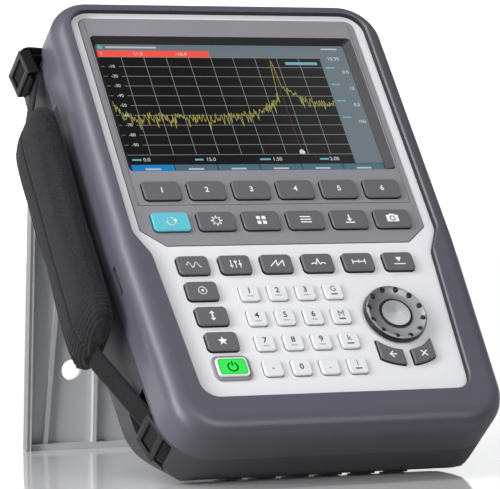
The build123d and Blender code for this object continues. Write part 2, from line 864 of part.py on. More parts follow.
# Strap buckles: two alike, an open frame over the tail and a bar between the layers
with BuildPart() as strap_buckles:
    for place, angle in ((upper_buckle, upper_buckle_angle), (lower_buckle, lower_buckle_angle)):
        seat = Plane(
            origin=(place[0], place[1], strap_z),
            x_dir=(cos(radians(angle)), sin(radians(angle)), 0),
            z_dir=(-sin(radians(angle)), cos(radians(angle)), 0),
        )
        with BuildSketch(seat.offset(buckle_inner)):
            with Locations((0, -(buckle_w - buckle_rail) / 2), (0, (buckle_w - buckle_rail) / 2)):
                Rectangle(buckle_h, buckle_rail)
        extrude(amount=buckle_outer - buckle_inner)
        with BuildSketch(seat.offset(layer_gap + web_t / 2 + buckle_skin)):
            with Locations((-(buckle_h - buckle_bar) / 2, 0), ((buckle_h - buckle_bar) / 2, 0)):
                Rectangle(buckle_bar, buckle_w)
        extrude(amount=buckle_outer - layer_gap - web_t / 2 - buckle_skin)
        with BuildSketch(seat.offset(web_t / 2 + buckle_skin)):
            Rectangle(buckle_bar, buckle_w)
        extrude(amount=layer_gap - web_t - 2 * buckle_skin)

# Strap anchor bars across the two side recesses
with BuildPart() as strap_bars:
    with BuildSketch(level(bar_front_z)):
        with Locations(upper_bar, lower_bar):
            Circle(bar_r)
    extrude(amount=-bar_len)


def room_at_bar(bar, room):
    """Outline from outside the case to just in from a strap bar, with room under and over it."""
    inward, under, over = room
    right = bar[0] + inward
    with BuildSketch() as outline:
        with Locations(((right - case_reach) / 2, bar[1] + (over - under) / 2)):
            Rectangle(right + case_reach, over + under)
    return outline.sketch


def low_corners(inset=0.0):
    """Outline with two round corners, seen along the slope of the lower back edge."""
    half = case_half_w_bottom + low_corner_side - inset
    reach = bottom_round + low_corner_over - inset
    round_r = low_corner_r - inset
    slack = round_r * (1 - sqrt(0.5))
    with BuildSketch() as outline:
        with BuildLine():
            ThreePointArc((half, reach - round_r), (half - slack, reach - slack), (half - round_r, reach))
            Line((half - round_r, reach), (round_r - half, reach))
            ThreePointArc((round_r - half, reach), (slack - half, reach - slack), (-half, reach - round_r))
            Polyline(
                (-half, reach - round_r),
                (-case_reach, -case_h),
                (case_reach, -case_h),
                (half, reach - round_r),
            )
        make_face()
    return outline.sketch


# Outer form of the rear shell: round back edges, a large round along the bottom, round lower corners
lower_back = Plane(origin=(0, bottom_round, back_z + bottom_round), x_dir=(1, 0, 0), z_dir=(0, 1, -1))
with BuildPart() as rear_form:
    with BuildSketch(level(back_z)):
        add(case_outline())
    extrude(amount=parting_z - back_z)
    fillet(rear_form.faces().sort_by(Axis.Z)[0].edges(), back_round)
    with BuildSketch(side(-case_reach)):
        with BuildLine():
            slack = bottom_round * (1 - sqrt(0.5))
            ThreePointArc((0, back_z + bottom_round), (slack, back_z + slack), (bottom_round, back_z))
            Polyline(
                (bottom_round, back_z),
                (case_h, back_z),
                (case_h, parting_z),
                (0, parting_z),
                (0, back_z + bottom_round),
            )
        make_face()
    extrude(amount=2 * case_reach, mode=Mode.INTERSECT)
    with BuildSketch(lower_back):
        add(low_corners())
    extrude(amount=case_h, both=True, mode=Mode.INTERSECT)

# Space inside the rear shell
with BuildPart() as rear_space:
    with BuildSketch(level(back_z)):
        add(case_outline(shell_wall))
    extrude(amount=parting_z - back_z)
    with BuildSketch(side(-case_reach)):
        with BuildLine():
            slack = shell_wall + (bottom_round - shell_wall) * (1 - sqrt(0.5))
            ThreePointArc(
                (shell_wall, back_z + bottom_round),
                (slack, back_z + slack),
                (bottom_round, back_z + shell_wall),
            )
            Polyline(
                (bottom_round, back_z + shell_wall),
                (bay_low_y - shell_wall, back_z + shell_wall),
                (bay_low_y - shell_wall, bay_floor_z + bay_wall),
                (bay_high_y + shell_wall, bay_floor_z + bay_wall),
                (case_h - shell_wall, back_z + 1.5 * back_round),
                (case_h - shell_wall, parting_z),
                (shell_wall, parting_z),
                (shell_wall, back_z + bottom_round),
            )
        make_face()
    extrude(amount=2 * case_reach, mode=Mode.INTERSECT)
    with BuildSketch(lower_back):
        add(low_corners(shell_wall))
    extrude(amount=case_h, both=True, mode=Mode.INTERSECT)
    with BuildSketch(level(back_z)):
        with Locations((0, case_h / 2)):
            Rectangle(2 * case_reach, case_h)
            Rectangle(2 * (bay_half_w - shell_wall), case_h, mode=Mode.SUBTRACT)
    extrude(amount=bay_ledge_z + shell_wall - back_z, mode=Mode.SUBTRACT)

# Posts and anchor blocks inside the rear shell
with BuildPart() as rear_posts:
    with BuildSketch(level(parting_z)):
        with Locations(*case_screws):
            Circle(boss_r)
    extrude(amount=back_z - parting_z)
    with BuildSketch(level(bay_floor_z)):
        with Locations(*door_screws):
            Circle(boss_r)
    extrude(amount=door_boss_z - bay_floor_z)
    for bar, room in ((upper_bar, upper_block), (lower_bar, lower_block)):
        with BuildSketch(level(parting_z)):
            add(room_at_bar(bar, room))
        extrude(amount=strap_z - anchor_w / 2 - anchor_end_t - parting_z)
    add(rear_form.part, mode=Mode.INTERSECT)

# Rear shell: stand bay, hinge ears, battery opening, strap recesses, screw wells and feet
with BuildPart() as rear_shell:
    add(rear_form.part)
    add(rear_space.part, mode=Mode.SUBTRACT)
    add(rear_posts.part)
    with BuildSketch(level(back_z)):
        with Locations((0, (bay_low_y + bay_high_y) / 2)):
            Rectangle(2 * case_reach, bay_high_y - bay_low_y)
    extrude(amount=bay_floor_z - back_z, mode=Mode.SUBTRACT)
    with BuildSketch(level(back_z)):
        with Locations((0, (bay_low_y + bay_high_y) / 2)):
            Rectangle(2 * case_reach, bay_high_y - bay_low_y)
            Rectangle(2 * bay_half_w, bay_high_y - bay_low_y, mode=Mode.SUBTRACT)
    extrude(amount=bay_ledge_z - back_z, mode=Mode.SUBTRACT)
    for x in (-bay_half_w, bay_half_w - ear_w):
        with BuildSketch(side(x)):
            with Locations((hinge_y, hinge_z)):
                Circle(ear_r)
            with Locations((hinge_y, (hinge_z + bay_floor_z + 1) / 2)):
                Rectangle(2 * ear_r, bay_floor_z + 1 - hinge_z)
        extrude(amount=ear_w)
        with BuildSketch(side(x)):
            with Locations((hinge_y, hinge_z)):
                Circle(pin_r + pin_seat_clear)
        extrude(amount=ear_w, mode=Mode.SUBTRACT)
    with BuildSketch(level(bay_floor_z)):
        with Locations((0, (door_low_y + door_high_y) / 2)):
            Rectangle(2 * (door_half_w + door_gap), door_high_y - door_low_y + 2 * door_gap)
    extrude(amount=door_t, mode=Mode.SUBTRACT)
    with BuildSketch(level(bay_floor_z)):
        with Locations((0, (battery_low_y + battery_high_y) / 2)):
            Rectangle(2 * battery_half_w + 1, battery_high_y - battery_low_y + 1)
    extrude(amount=bay_wall, mode=Mode.SUBTRACT)
    with BuildSketch(level(bay_floor_z)):
        with Locations(*door_screws):
            Circle(screw_r + screw_clear)
    extrude(amount=screw_len + 1, mode=Mode.SUBTRACT)
    with BuildSketch(level(back_z)):
        with Locations(*case_screws):
            Circle(screw_well_r)
    extrude(amount=case_screw_seat_z - back_z, mode=Mode.SUBTRACT)
    with BuildSketch(level(case_screw_seat_z)):
        with Locations(*case_screws):
            Circle(screw_r + screw_clear)
    extrude(amount=parting_z - case_screw_seat_z, mode=Mode.SUBTRACT)
    for bar, room in ((upper_bar, upper_recess), (lower_bar, lower_recess)):
        with BuildSketch(level(strap_z - anchor_w / 2)):
            add(room_at_bar(bar, room))
        extrude(amount=anchor_w, mode=Mode.SUBTRACT)
    with BuildSketch(level(bar_front_z)):
        with Locations(upper_bar, lower_bar):
            Circle(bar_r + bar_clear)
    extrude(amount=-bar_len, mode=Mode.SUBTRACT)
    with BuildSketch(level(tab_back_z - fit_gap)):
        with Locations((-case_half_w, (tab_low_y + tab_high_y) / 2)):
            Rectangle(2 * (wall + fit_gap), tab_high_y - tab_low_y + 2 * fit_gap)
    extrude(amount=parting_z - tab_back_z + fit_gap, mode=Mode.SUBTRACT)
    for x in (-port_x, port_x):
        with BuildSketch(across(x, case_h, port_z)):
            Circle(port_neck_r + port_hole_clear)
        extrude(amount=-2 * shell_wall, mode=Mode.SUBTRACT)
    for i in range(foot_count):
        with BuildSketch(side((i - (foot_count - 1) / 2) * foot_pitch - foot_w / 2)):
            with Locations((bottom_round, back_z + bottom_round)):
                Circle(bottom_round + foot_rise)
                Circle(bottom_round - 1, mode=Mode.SUBTRACT)
                with Locations(Location((0, 0), 180 + lean)):
                    with Locations((bottom_round, 0)):
                        Rectangle(8, 2 * bottom_round * sin(radians(foot_sweep / 2)), mode=Mode.INTERSECT)
        extrude(amount=foot_w)

# Battery pack and its door
with BuildPart() as battery_pack:
    with BuildSketch(level(battery_back_z)):
        with Locations((0, (battery_low_y + battery_high_y) / 2)):
            RectangleRounded(2 * battery_half_w, battery_high_y - battery_low_y, 3)
    extrude(amount=battery_front_z - battery_back_z)
with BuildPart() as battery_door:
    with BuildSketch(level(bay_floor_z)):
        with Locations((0, (door_low_y + door_high_y) / 2)):
            Rectangle(2 * door_half_w, door_high_y - door_low_y)
    extrude(amount=door_t)
    with BuildSketch(level(bay_floor_z)):
        with Locations((0, door_low_y + 2 * door_grip_h)):
            RectangleRounded(door_grip_w, door_grip_h, door_grip_h / 2 - 0.1)
    extrude(amount=door_grip_depth, mode=Mode.SUBTRACT)
    with BuildSketch(level(bay_floor_z)):
        with Locations(*door_screws):
            Circle(screw_r + screw_clear)
    extrude(amount=door_t, mode=Mode.SUBTRACT)

# Screws: four deep in the case wells, four in the battery door, all alike
with BuildPart() as housing_screws:
    for seat_z, places in ((case_screw_seat_z, case_screws), (bay_floor_z, door_screws)):
        with BuildSketch(level(seat_z)):
            with Locations(*places):
                Circle(screw_r)
        extrude(amount=screw_len)
        with BuildSketch(level(seat_z - screw_head_t)):
            with Locations(*places):
                Circle(screw_head_r)
                RegularPolygon(screw_r, 6, mode=Mode.SUBTRACT)
        extrude(amount=screw_head_t)

# Stand, drawn folded into its bay: flanged plate with ribs, holes and hinge notches
with BuildPart() as kickstand:
    with BuildSketch(across(0, stand_foot_y, 0)) as channel:
        with Locations((0, -(back_z + stand_flange_z) / 2)):
            Rectangle(2 * stand_half_w, stand_flange_z - back_z)
        fillet(channel.vertices().group_by(Axis.Y)[-1], stand_edge_round)
        with Locations((0, -(back_z + stand_plate_t + stand_flange_z) / 2)):
            Rectangle(
                2 * (stand_half_w - stand_flange_t),
                stand_flange_z - back_z - stand_plate_t,
                mode=Mode.SUBTRACT,
            )
    extrude(amount=stand_length + stand_top)
    with BuildSketch(level(back_z)):
        with Locations((0, stand_foot_y + stand_foot_t / 2)):
            Rectangle(2 * (stand_half_w - stand_edge_round), stand_foot_t)
    extrude(amount=stand_foot_z - back_z)
    with BuildSketch(level(back_z + stand_plate_t)):
        for way in (-1, 1):
            with BuildLine():
                Polyline(
                    (way * (stand_outer_rib_low_x - stand_rib_w), stand_foot_y + 1),
                    (way * stand_outer_rib_low_x, stand_foot_y + 1),
                    (way * stand_outer_rib_high_x, hinge_y - stand_rib_top),
                    (way * (stand_outer_rib_high_x - stand_rib_w), hinge_y - stand_rib_top),
                    close=True,
                )
            make_face()
            with Locations((way * stand_inner_rib_x, (stand_foot_y + hinge_y - stand_rib_top) / 2)):
                Rectangle(stand_rib_w, stand_length - stand_rib_top - 2)
    extrude(amount=stand_rib_t)
    with BuildSketch(level(back_z)):
        for x in stand_hole_xs:
            with Locations((-x, stand_foot_y + stand_hole_rise), (x, stand_foot_y + stand_hole_rise)):
                Circle(stand_hole_r)
    extrude(amount=stand_plate_t + stand_rib_t, mode=Mode.SUBTRACT)
    with BuildSketch(level(back_z)):
        notch_w = stand_half_w - stand_flange_t - bay_half_w + ear_w + 0.4
        for way in (-1, 1):
            with Locations((way * (stand_half_w - stand_flange_t - notch_w / 2), hinge_y)):
                Rectangle(notch_w, 2 * ear_notch)
    extrude(amount=stand_plate_t, mode=Mode.SUBTRACT)
    with BuildSketch(side(-stand_half_w)):
        with Locations((hinge_y, hinge_z)):
            Circle(pin_r + pin_clear)
    extrude(amount=2 * stand_half_w, mode=Mode.SUBTRACT)

# Stand hinge pins, one each side
with BuildPart() as stand_pins:
    for x in (-pin_outer_x, pin_inner_x):
        with BuildSketch(side(x)):
            with Locations((hinge_y, hinge_z)):
                Circle(pin_r)
        extrude(amount=pin_outer_x - pin_inner_x)

# Radio ports: threaded barrel, hexagon nut, bore with a centre contact, neck through the shell
with BuildPart() as rf_ports:
    for x in (-port_x, port_x):
        with BuildSketch(across(x, case_h - port_neck_len, port_z)):
            Circle(port_neck_r)
        extrude(amount=port_neck_len)
        with BuildSketch(across(x, case_h, port_z)):
            RegularPolygon(port_nut_r, 6)
        extrude(amount=port_nut_t)
        with BuildSketch(across(x, case_h + port_nut_t, port_z)):
            Circle(port_r)
        extrude(amount=port_len)
        with BuildSketch(across(x, case_h + port_nut_t + port_len, port_z)):
            Circle(port_bore_r)
            Circle(port_pin_r, mode=Mode.SUBTRACT)
        extrude(amount=-port_bore_depth, mode=Mode.SUBTRACT)
        with BuildSketch(across(x, case_h + port_nut_t + port_len, port_z)):
            Circle(port_bore_r)
        extrude(amount=-port_bore_depth / 3, mode=Mode.SUBTRACT)


# Standing pose: leaned back on the feet, with the stand swung out until its foot meets the same floor
def height(y, z):
    """Height of a case point once the case leans back."""
    return y * cos(radians(lean)) + z * sin(radians(lean))


floor = height(bottom_round, back_z + bottom_round) - bottom_round - foot_rise
foot_front = stand_flange_z - hinge_z
foot_reach = hypot(stand_length, foot_front)
stand_tilt = degrees(atan2(foot_front, stand_length) + acos((height(hinge_y, hinge_z) - floor) / foot_reach))
standing = Location((-box_mid_x, -box_mid_back, -floor)) * Location((0, 0, 0), (90 - lean, 0, 0))
hinge_axis = Location((0, hinge_y, hinge_z))
swung_out = hinge_axis * Location((0, 0, 0), (lean + stand_tilt, 0, 0)) * hinge_axis.inverse()

pieces = {
    "front_bumper": front_bumper,
    "rear_shell": rear_shell,
    "keypad_fascia": keypad_fascia,
    "display_panel": display_panel,
    "lcd_module": lcd_module,
    "key_mat": key_mat,
    "main_board": main_board,
    "rotary_encoder": rotary_encoder,
    "tuning_knob": tuning_knob,
    "knob_button": knob_button,
    "strap_webbing": strap_webbing,
    "padded_handle": padded_handle,
    "strap_buckles": strap_buckles,
    "strap_bars": strap_bars,
    "battery_pack": battery_pack,
    "battery_door": battery_door,
    "housing_screws": housing_screws,
    "kickstand": kickstand,
    "stand_pins": stand_pins,
    "rf_ports": rf_ports,
}
for name, x, y, wide, high, corner, plate in keys:
    pieces[name] = make_key(x, y, wide, high, corner, plate)
for name, left, right in arc_keys:
    pieces[name] = make_arc_key(left, right)

for name, piece in pieces.items():
    place = standing * swung_out if name == "kickstand" else standing
    placed = piece.part.moved(place)
    placed.label = name
    export_step(placed, f"parts/{name}.step")
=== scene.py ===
"""Finishes, key legends, screen picture and hand strap of a handheld network analyzer on its rear stand."""

import json
import random
from math import copysign, cos, exp, hypot, pi, radians, sin, sqrt, tan

import bmesh
import bpy
from bpy.props import FloatProperty, FloatVectorProperty, IntProperty, PointerProperty
from mathutils import Matrix, Quaternion, Vector
from mathutils.bvhtree import BVHTree


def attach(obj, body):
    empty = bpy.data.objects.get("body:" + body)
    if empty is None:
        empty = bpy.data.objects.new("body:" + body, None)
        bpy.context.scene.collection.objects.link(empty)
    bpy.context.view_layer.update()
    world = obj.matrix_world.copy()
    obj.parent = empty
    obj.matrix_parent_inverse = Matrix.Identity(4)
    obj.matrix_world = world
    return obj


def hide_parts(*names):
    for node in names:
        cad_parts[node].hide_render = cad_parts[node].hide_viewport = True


bl_info = {
    "name": "Network analyzer finish",
    "version": (1, 0, 0),
    "blender": (4, 5, 0),
    "location": "View3D > Sidebar > Analyzer",
    "description": "Dresses the packed network analyzer: finishes, legends, screen picture, strap and stage",
    "category": "Object",
}

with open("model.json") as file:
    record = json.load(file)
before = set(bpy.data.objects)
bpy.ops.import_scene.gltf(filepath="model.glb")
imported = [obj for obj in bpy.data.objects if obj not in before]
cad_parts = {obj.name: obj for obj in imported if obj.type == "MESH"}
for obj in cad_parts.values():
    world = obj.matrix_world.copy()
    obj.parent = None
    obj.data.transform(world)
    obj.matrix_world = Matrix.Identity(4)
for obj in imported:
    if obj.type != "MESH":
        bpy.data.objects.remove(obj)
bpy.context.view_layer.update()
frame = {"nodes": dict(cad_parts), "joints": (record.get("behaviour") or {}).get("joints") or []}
nodes = frame["nodes"]

# The case's own frame, in millimetres: X right, Y up the case from its bottom, Z out of the white face
MM = 1000
LEAN = radians(39.0)
HINGE = Vector((0.0, 271.0, -66.0))
stand_joint = next(j for j in frame["joints"] if j["name"] == "stand_fold")
CASE = (
    Matrix.Translation(stand_joint["pos_m"])
    @ Matrix.Rotation(pi / 2 - LEAN, 4, "X")
    @ Matrix.Scale(1 / MM, 4)
    @ Matrix.Translation(-HINGE)
)
PANEL_KEYS = [f"soft_key_{i}" for i in range(1, 7)]
MODE_KEYS = ["preset_key", "setup_key", "mode_key", "lines_key", "save_key", "camera_key"]
FUNCTION_KEYS = ["frequency_key", "config_key", "sweep_key", "trace_key", "measure_key", "marker_key"]
SIDE_KEYS = ["cal_key", "scale_key", "wizard_key"]
ARC_KEYS = ["back_key", "cancel_key"]
DIGIT_KEYS = {
    "one_key": "1", "two_key": "2", "three_key": "3",
    "four_key": "4", "five_key": "5", "six_key": "6",
    "seven_key": "7", "eight_key": "8", "nine_key": "9",
    "sign_key": "-", "zero_key": "0", "point_key": ".",
}
UNIT_KEYS = {"giga_key": "G", "mega_key": "M", "kilo_key": "k", "unit_key": "1"}
KNOB = (47.2, 72.6)
# Middle of the padded strap: how far left of the case's middle, and how far behind the white face
STRAP_X, STRAP_Z = -113.5, -35.0
# Metres: where a key's painted side shade gives way to its top, below its highest point, then size and depth
# of pores
KEY_SHADE_EDGE = (0.0011, 0.0005)
KEY_PORE, RUBBER_PORE, PORE_DEPTH = 1 / 2800, 0.00035, 0.000018


def tint(red, green, blue):
    """Linear colour from the numbers a picture program shows."""
    shares = (red / 255, green / 255, blue / 255)
    return tuple(c / 12.92 if c <= 0.04045 else ((c + 0.055) / 1.055) ** 2.4 for c in shares)


def colour(name, description, default):
    """Colour property with its words and default."""
    return FloatVectorProperty(
        name=name, description=description, subtype="COLOR", size=3, min=0, max=1, default=default
    )


def length(name, description, default):
    """Length property in metres."""
    return FloatProperty(
        name=name, description=description, unit="LENGTH", subtype="DISTANCE", precision=5, default=default
    )


def number(name, description, default, unit="NONE"):
    """Number property, with a unit where one fits."""
    return FloatProperty(name=name, description=description, unit=unit, default=default)


def count_of(name, description, default, least):
    """Whole number property."""
    return IntProperty(name=name, description=description, default=default, min=least)


class HousingLooks(bpy.types.PropertyGroup):
    """Colours and texture of the moulded case pieces."""

    bumper: colour("Bumper", "Front bumper plastic", tint(87, 85, 96))
    # Rear shell: the bumper's bluish grey made darker, which is painted shade
    shell: colour("Rear shell", "Rear shell plastic", tint(50, 50, 57))
    fascia: colour("Fascia", "White keypad plate", tint(226, 226, 229))
    # Rim: partly the rim's own grey, partly painted shade of its sides
    rim: colour("Rim", "Raised rim round the power key", tint(136, 136, 142))
    panel: colour("Panel", "Dark display plate", tint(137, 135, 141))
    # Recess shade: painted shade on the slopes round the display and inside the bumper's slot
    slope: colour("Window slope", "Dark slopes round the display", tint(30, 30, 33))
    stand: colour("Stand", "Rear stand plastic", tint(204, 205, 207))
    # Past this half width the stand's outer edges get painted shade
    stand_edge: length("Stand edge", "Half width past which the stand is darker", 0.0940)
    battery: colour("Battery", "Battery pack plastic", tint(40, 40, 44))
    mat: colour("Key mat", "Rubber sheet under the keys", tint(88, 88, 90))
    # Dark strip at the foot of the bumper's lip: painted shadow of the lip
    seal: colour("Shadow", "Soft seal round the face", tint(30, 30, 34))
    seal_rise: length("Seal rise", "How far the seal climbs the bumper's lip", 0.0029)
    board: colour("Board", "Solder mask of the main board", tint(20, 88, 48))
    grain: length("Grain", "Size of the moulded texture", 0.0006)
    grain_depth: length("Grain depth", "Depth of the moulded texture", 0.00004)


class KeyLooks(bpy.types.PropertyGroup):
    """Colours of the keys and of what is printed on them."""

    dark: colour("Dark keys", "Function and soft keys", tint(98, 97, 101))
    white: colour("Number keys", "Number and unit keys", tint(222, 222, 225))
    accent: colour("Accent key", "First key of the second row", tint(92, 186, 200))
    power: colour("Power window", "Lit window of the power key", tint(52, 235, 84))
    power_mark: colour("Power mark", "Sign in the power window", tint(10, 120, 34))
    # Key sides: painted shade under the edge of each key's top
    skirt: colour("Key sides", "Sides of the dark keys", tint(24, 24, 26))
    white_skirt: colour("Number key sides", "Sides of the number keys", tint(168, 168, 174))
    power_rim: colour("Power rim", "Rim of the power key", tint(222, 224, 226))
    power_edge: length("Power edge", "Width of the rim round the power window", 0.0019)
    power_corner: length("Power corner", "Corner radius of the power window", 0.0019)
    print_light: colour("Light print", "Signs on dark keys", tint(240, 240, 240))
    print_dark: colour("Dark print", "Numbers on white keys", tint(70, 70, 74))
    print_blue: colour("Blue print", "Second line on number keys", tint(150, 185, 220))
    print_t: length("Print thickness", "How far print stands off a key", 0.00003)


class KnobLooks(bpy.types.PropertyGroup):
    """Colours and sizes of the tuning knob."""

    face: colour("Face", "Dished knob face", tint(150, 150, 156))
    rim: colour("Rim", "Side of the knob", tint(38, 38, 41))
    button: colour("Button", "Push button", tint(205, 205, 210))
    peg: colour("Pegs", "Soft pegs round the rim", tint(26, 26, 28))
    peg_count: count_of("Pegs", "Pegs round the rim", 12, 3)
    peg_r: length("Peg radius", "Radius of one peg", 0.00150)
    peg_circle: length("Peg circle", "Radius of the circle of pegs", 0.0154)


class ScreenLooks(bpy.types.PropertyGroup):
    """Colours and sizes of the screen picture."""

    ground: colour("Ground", "Graph ground", tint(16, 16, 17))
    info: colour("Information row", "Row under the graph", tint(14, 15, 17))
    header: colour("Header", "Header and side column", tint(102, 115, 122))
    label: colour("Labels", "Soft key labels on the screen", tint(70, 106, 118))
    chosen: colour("Chosen label", "First soft key label", tint(22, 126, 192))
    marker: colour("Marker", "Marker bar", tint(242, 84, 72))
    grid: colour("Grid", "Grid lines", tint(150, 150, 148))
    trace: colour("Trace", "Measured line", tint(172, 164, 84))
    cursor: colour("Cursor", "Marker line and tip", tint(134, 66, 50))
    words: colour("Numbers", "Light numbers and bars", tint(205, 212, 215))
    dim_words: colour("Soft bars", "Tinted bars", tint(112, 170, 184))
    columns: count_of("Columns", "Columns of the grid", 10, 2)
    rows: count_of("Rows", "Rows of the grid", 10, 2)
    line_w: length("Line width", "Width of a grid line", 0.00026)
    trace_w: length("Trace width", "Width of the measured line", 0.00028)
    samples: count_of("Samples", "Points on the measured line", 300, 20)
    seed: count_of("Seed", "Seed of the measured noise", 11, 0)


class StrapLooks(bpy.types.PropertyGroup):
    """Colours and sizes of the hand strap."""

    webbing: colour("Webbing", "Woven band", tint(18, 18, 20))
    padding: colour("Padding", "Cover of the padded handle", tint(26, 26, 28))
    binding: colour("Binding", "Ribbed edge of the padded handle", tint(20, 20, 22))
    thread: colour("Thread", "Sewing thread", tint(84, 84, 88))
    buckle: colour("Buckle", "Buckle plastic", tint(14, 14, 15))
    rib: length("Rib", "Pitch of the ribs at the lower end", 0.0025)
    rib_depth: length("Rib depth", "Depth of the ribs", 0.00042)
    seam_depth: length("Seam depth", "Depth of the sewn channels", 0.0014)
    stitch: length("Stitch", "Pitch of the stitches", 0.0026)
    voxel: length("Voxel", "Mesh size of the cloth simulation", 0.0026)
    reach: length("Reach", "Furthest that filling moves the cover", 0.0018)
    cloth_mass: number("Cloth mass", "Mass of one point of the cover", 0.001)
    pressure: number("Pressure", "Pressure of the filling", 4.0)


class StageLooks(bpy.types.PropertyGroup):
    """Floor, light and camera."""

    floor: colour("Floor", "Pale floor", (0.80, 0.80, 0.81))
    lens: number("Lens", "Focal length on a 36 mm sensor", 237.6)
    front_power: number("Front light", "Power of the front softbox", 13.0, "POWER")
    side_power: number("Side light", "Power of the left softbox", 19.0, "POWER")
    strip_power: number("Strip light", "Power of the upper left strip", 10.0, "POWER")
    ambient: number("Ambient", "Strength of the studio walls", 0.22)


class Shade:
    """A socket of one node tree, which takes part in Python arithmetic."""

    def __init__(self, tree, socket=None):
        self.tree = tree
        self.socket = socket

    def node(self, kind, settings=None, inputs=None, out=0):
        """Adds any other node: its settings first, then the values or links of its sockets."""
        made = self.tree.nodes.new(kind)
        for key, value in (settings or {}).items():
            setattr(made, key, value)
        for key, value in (inputs or {}).items():
            if isinstance(value, Shade):
                self.tree.links.new(value.socket, made.inputs[key])
            else:
                made.inputs[key].default_value = value
        return Shade(self.tree, made.outputs[out])

    def math(self, operation, other=0.0, swapped=False):
        """One Math node on this value and another, in this order or the other way round."""
        first, second = (other, self) if swapped else (self, other)
        return self.node("ShaderNodeMath", {"operation": operation}, {0: first, 1: second})

    def __add__(self, other):
        return self.math("ADD", other)

    __radd__ = __add__

    def __sub__(self, other):
        return self.math("SUBTRACT", other)

    def __rsub__(self, other):
        return self.math("SUBTRACT", other, swapped=True)

    def __mul__(self, other):
        return self.math("MULTIPLY", other)

    __rmul__ = __mul__

    def __truediv__(self, other):
        return self.math("DIVIDE", other)

    def __rtruediv__(self, other):
        return self.math("DIVIDE", other, swapped=True)

    def wave(self, pitch):
        """Sine over a length, from nothing to one and back in each pitch."""
        return (self * (2 * pi / pitch)).math("SINE") * 0.5 + 0.5

    def above(self, edge):
        """One where the value is over an edge, nothing elsewhere."""
        return self.math("GREATER_THAN", edge)

    def between(self, low, high):
        """One where the value lies between two others, nothing elsewhere."""
        return ((self - low) * (high - self)).above(0)

    def step(self, start, end):
        """Smooth rise from nothing at one value to one at another."""
        smooth = {"interpolation_type": "SMOOTHSTEP"}
        return self.node("ShaderNodeMapRange", smooth, {0: self, 1: start, 2: end})

    def paint(self, low, high):
        """Colour between two, with this value as the share of the second."""
        ends = [c if isinstance(c, Shade) else (*c, 1) for c in (low, high)]
        return self.node("ShaderNodeMix", {"data_type": "RGBA"}, {0: self, 6: ends[0], 7: ends[1]}, out=2)

    def place(self, kind="Object"):
        """Place on the piece, in its own coordinates or its own map."""
        return self.node("ShaderNodeTexCoord", out=kind)

    def noise(self, scale, detail=2.0):
        """Noise over this place, from about nothing to about one."""
        return self.node("ShaderNodeTexNoise", None, {"Vector": self, "Scale": scale, "Detail": detail})

    def parts(self):
        """A vector's three numbers."""
        made = self.node("ShaderNodeSeparateXYZ", None, {0: self}).socket.node
        return [Shade(self.tree, socket) for socket in made.outputs]

    def bump(self, depth):
        """Normal that a height gives, for a depth in metres."""
        return self.node("ShaderNodeBump", None, {"Height": self, "Distance": depth, "Strength": 1.0})

    def into(self, shader, name):
        """Links this value to a shader's socket."""
        self.tree.links.new(self.socket, shader.inputs[name])


def surface(name, constants):
    """New material with a Principled surface, a Shade to build on, and its shader."""
    material = bpy.data.materials.new(name)
    material.use_nodes = True
    shader = material.node_tree.nodes["Principled BSDF"]
    for key, value in constants.items():
        shader.inputs[key].default_value = (*value, 1) if isinstance(value, tuple) else value
    return material, Shade(material.node_tree), shader


def scaled(paint, share):
    """Colour made lighter or darker."""
    return tuple(min(1.0, c * share) for c in paint)


def mottled(shade, paint, low, high):
    """Colour that a value moves between two shades of one paint."""
    return shade.paint(scaled(paint, low), scaled(paint, high))


def on_case(shade):
    """Place on a piece in the case's frame, in metres."""
    back = CASE.inverted()
    turned = {"Vector": shade.place(), "Rotation": back.to_euler("XYZ"), "Location": back.translation / MM}
    return shade.node("ShaderNodeMapping", {"vector_type": "POINT"}, turned)


def moulded(
    name, paint, roughness, grain, depth,
    spread=(0.95, 1.05), gloss=0.5, slow_noise=(38.0, 4.0), fine_share=0.3, sheen=(0.16, 0.10), marks=None,
):
    """Moulded plastic: fine texture, slow change of colour and sheen, and marks by place on the case."""
    material, shade, shader = surface(name, {"Specular IOR Level": gloss})
    place = on_case(shade) if marks else shade.place()
    fine, slow = place.noise(1 / grain, 3.0), place.noise(*slow_noise)
    tone = mottled(slow * (1 - fine_share) + fine * fine_share, paint, *spread)
    if marks:
        tone = marks(place, tone)
    tone.into(shader, "Base Color")
    rough = roughness + (fine - 0.5) * sheen[0]
    if sheen[1]:
        rough = rough + (slow - 0.5) * sheen[1]
    rough.into(shader, "Roughness")
    fine.bump(depth).into(shader, "Normal")
    return material


def keycap(name, paint, skirt, top, roughness):
    """Key rubber: very fine pores, and painted shade on the sides under the edge of the top."""

    def sides(place, tone):
        """Key: painted shade on the sides, up to the edge of the top."""
        return place.parts()[2].step(*(top / MM - under for under in KEY_SHADE_EDGE)).paint(skirt, tone)

    return moulded(
        name, paint, roughness, KEY_PORE, PORE_DEPTH,
        (0.94, 1.06), 0.35, slow_noise=(60.0, 3.0), fine_share=0.4, sheen=(0.16, 0.0), marks=sides,
    )


def rubber(name, paint, roughness):
    """Soft rubber: very fine pores and a faint wear sheen."""
    return moulded(name, paint, roughness, RUBBER_PORE, PORE_DEPTH, gloss=0.4)


def metal(name, paint, roughness):
    """Bright metal with fine lathe or brush marks."""
    material, shade, shader = surface(name, {"Metallic": 1.0})
    stretch = {"Vector": shade.place(), "Scale": (1.0, 0.15, 0.15)}
    marks = shade.node("ShaderNodeMapping", None, stretch).noise(2500.0, 2.0)
    mottled(marks, paint, 0.86, 1.0).into(shader, "Base Color")
    (roughness + (marks - 0.5) * 0.18).into(shader, "Roughness")
    marks.bump(0.000012).into(shader, "Normal")
    return material


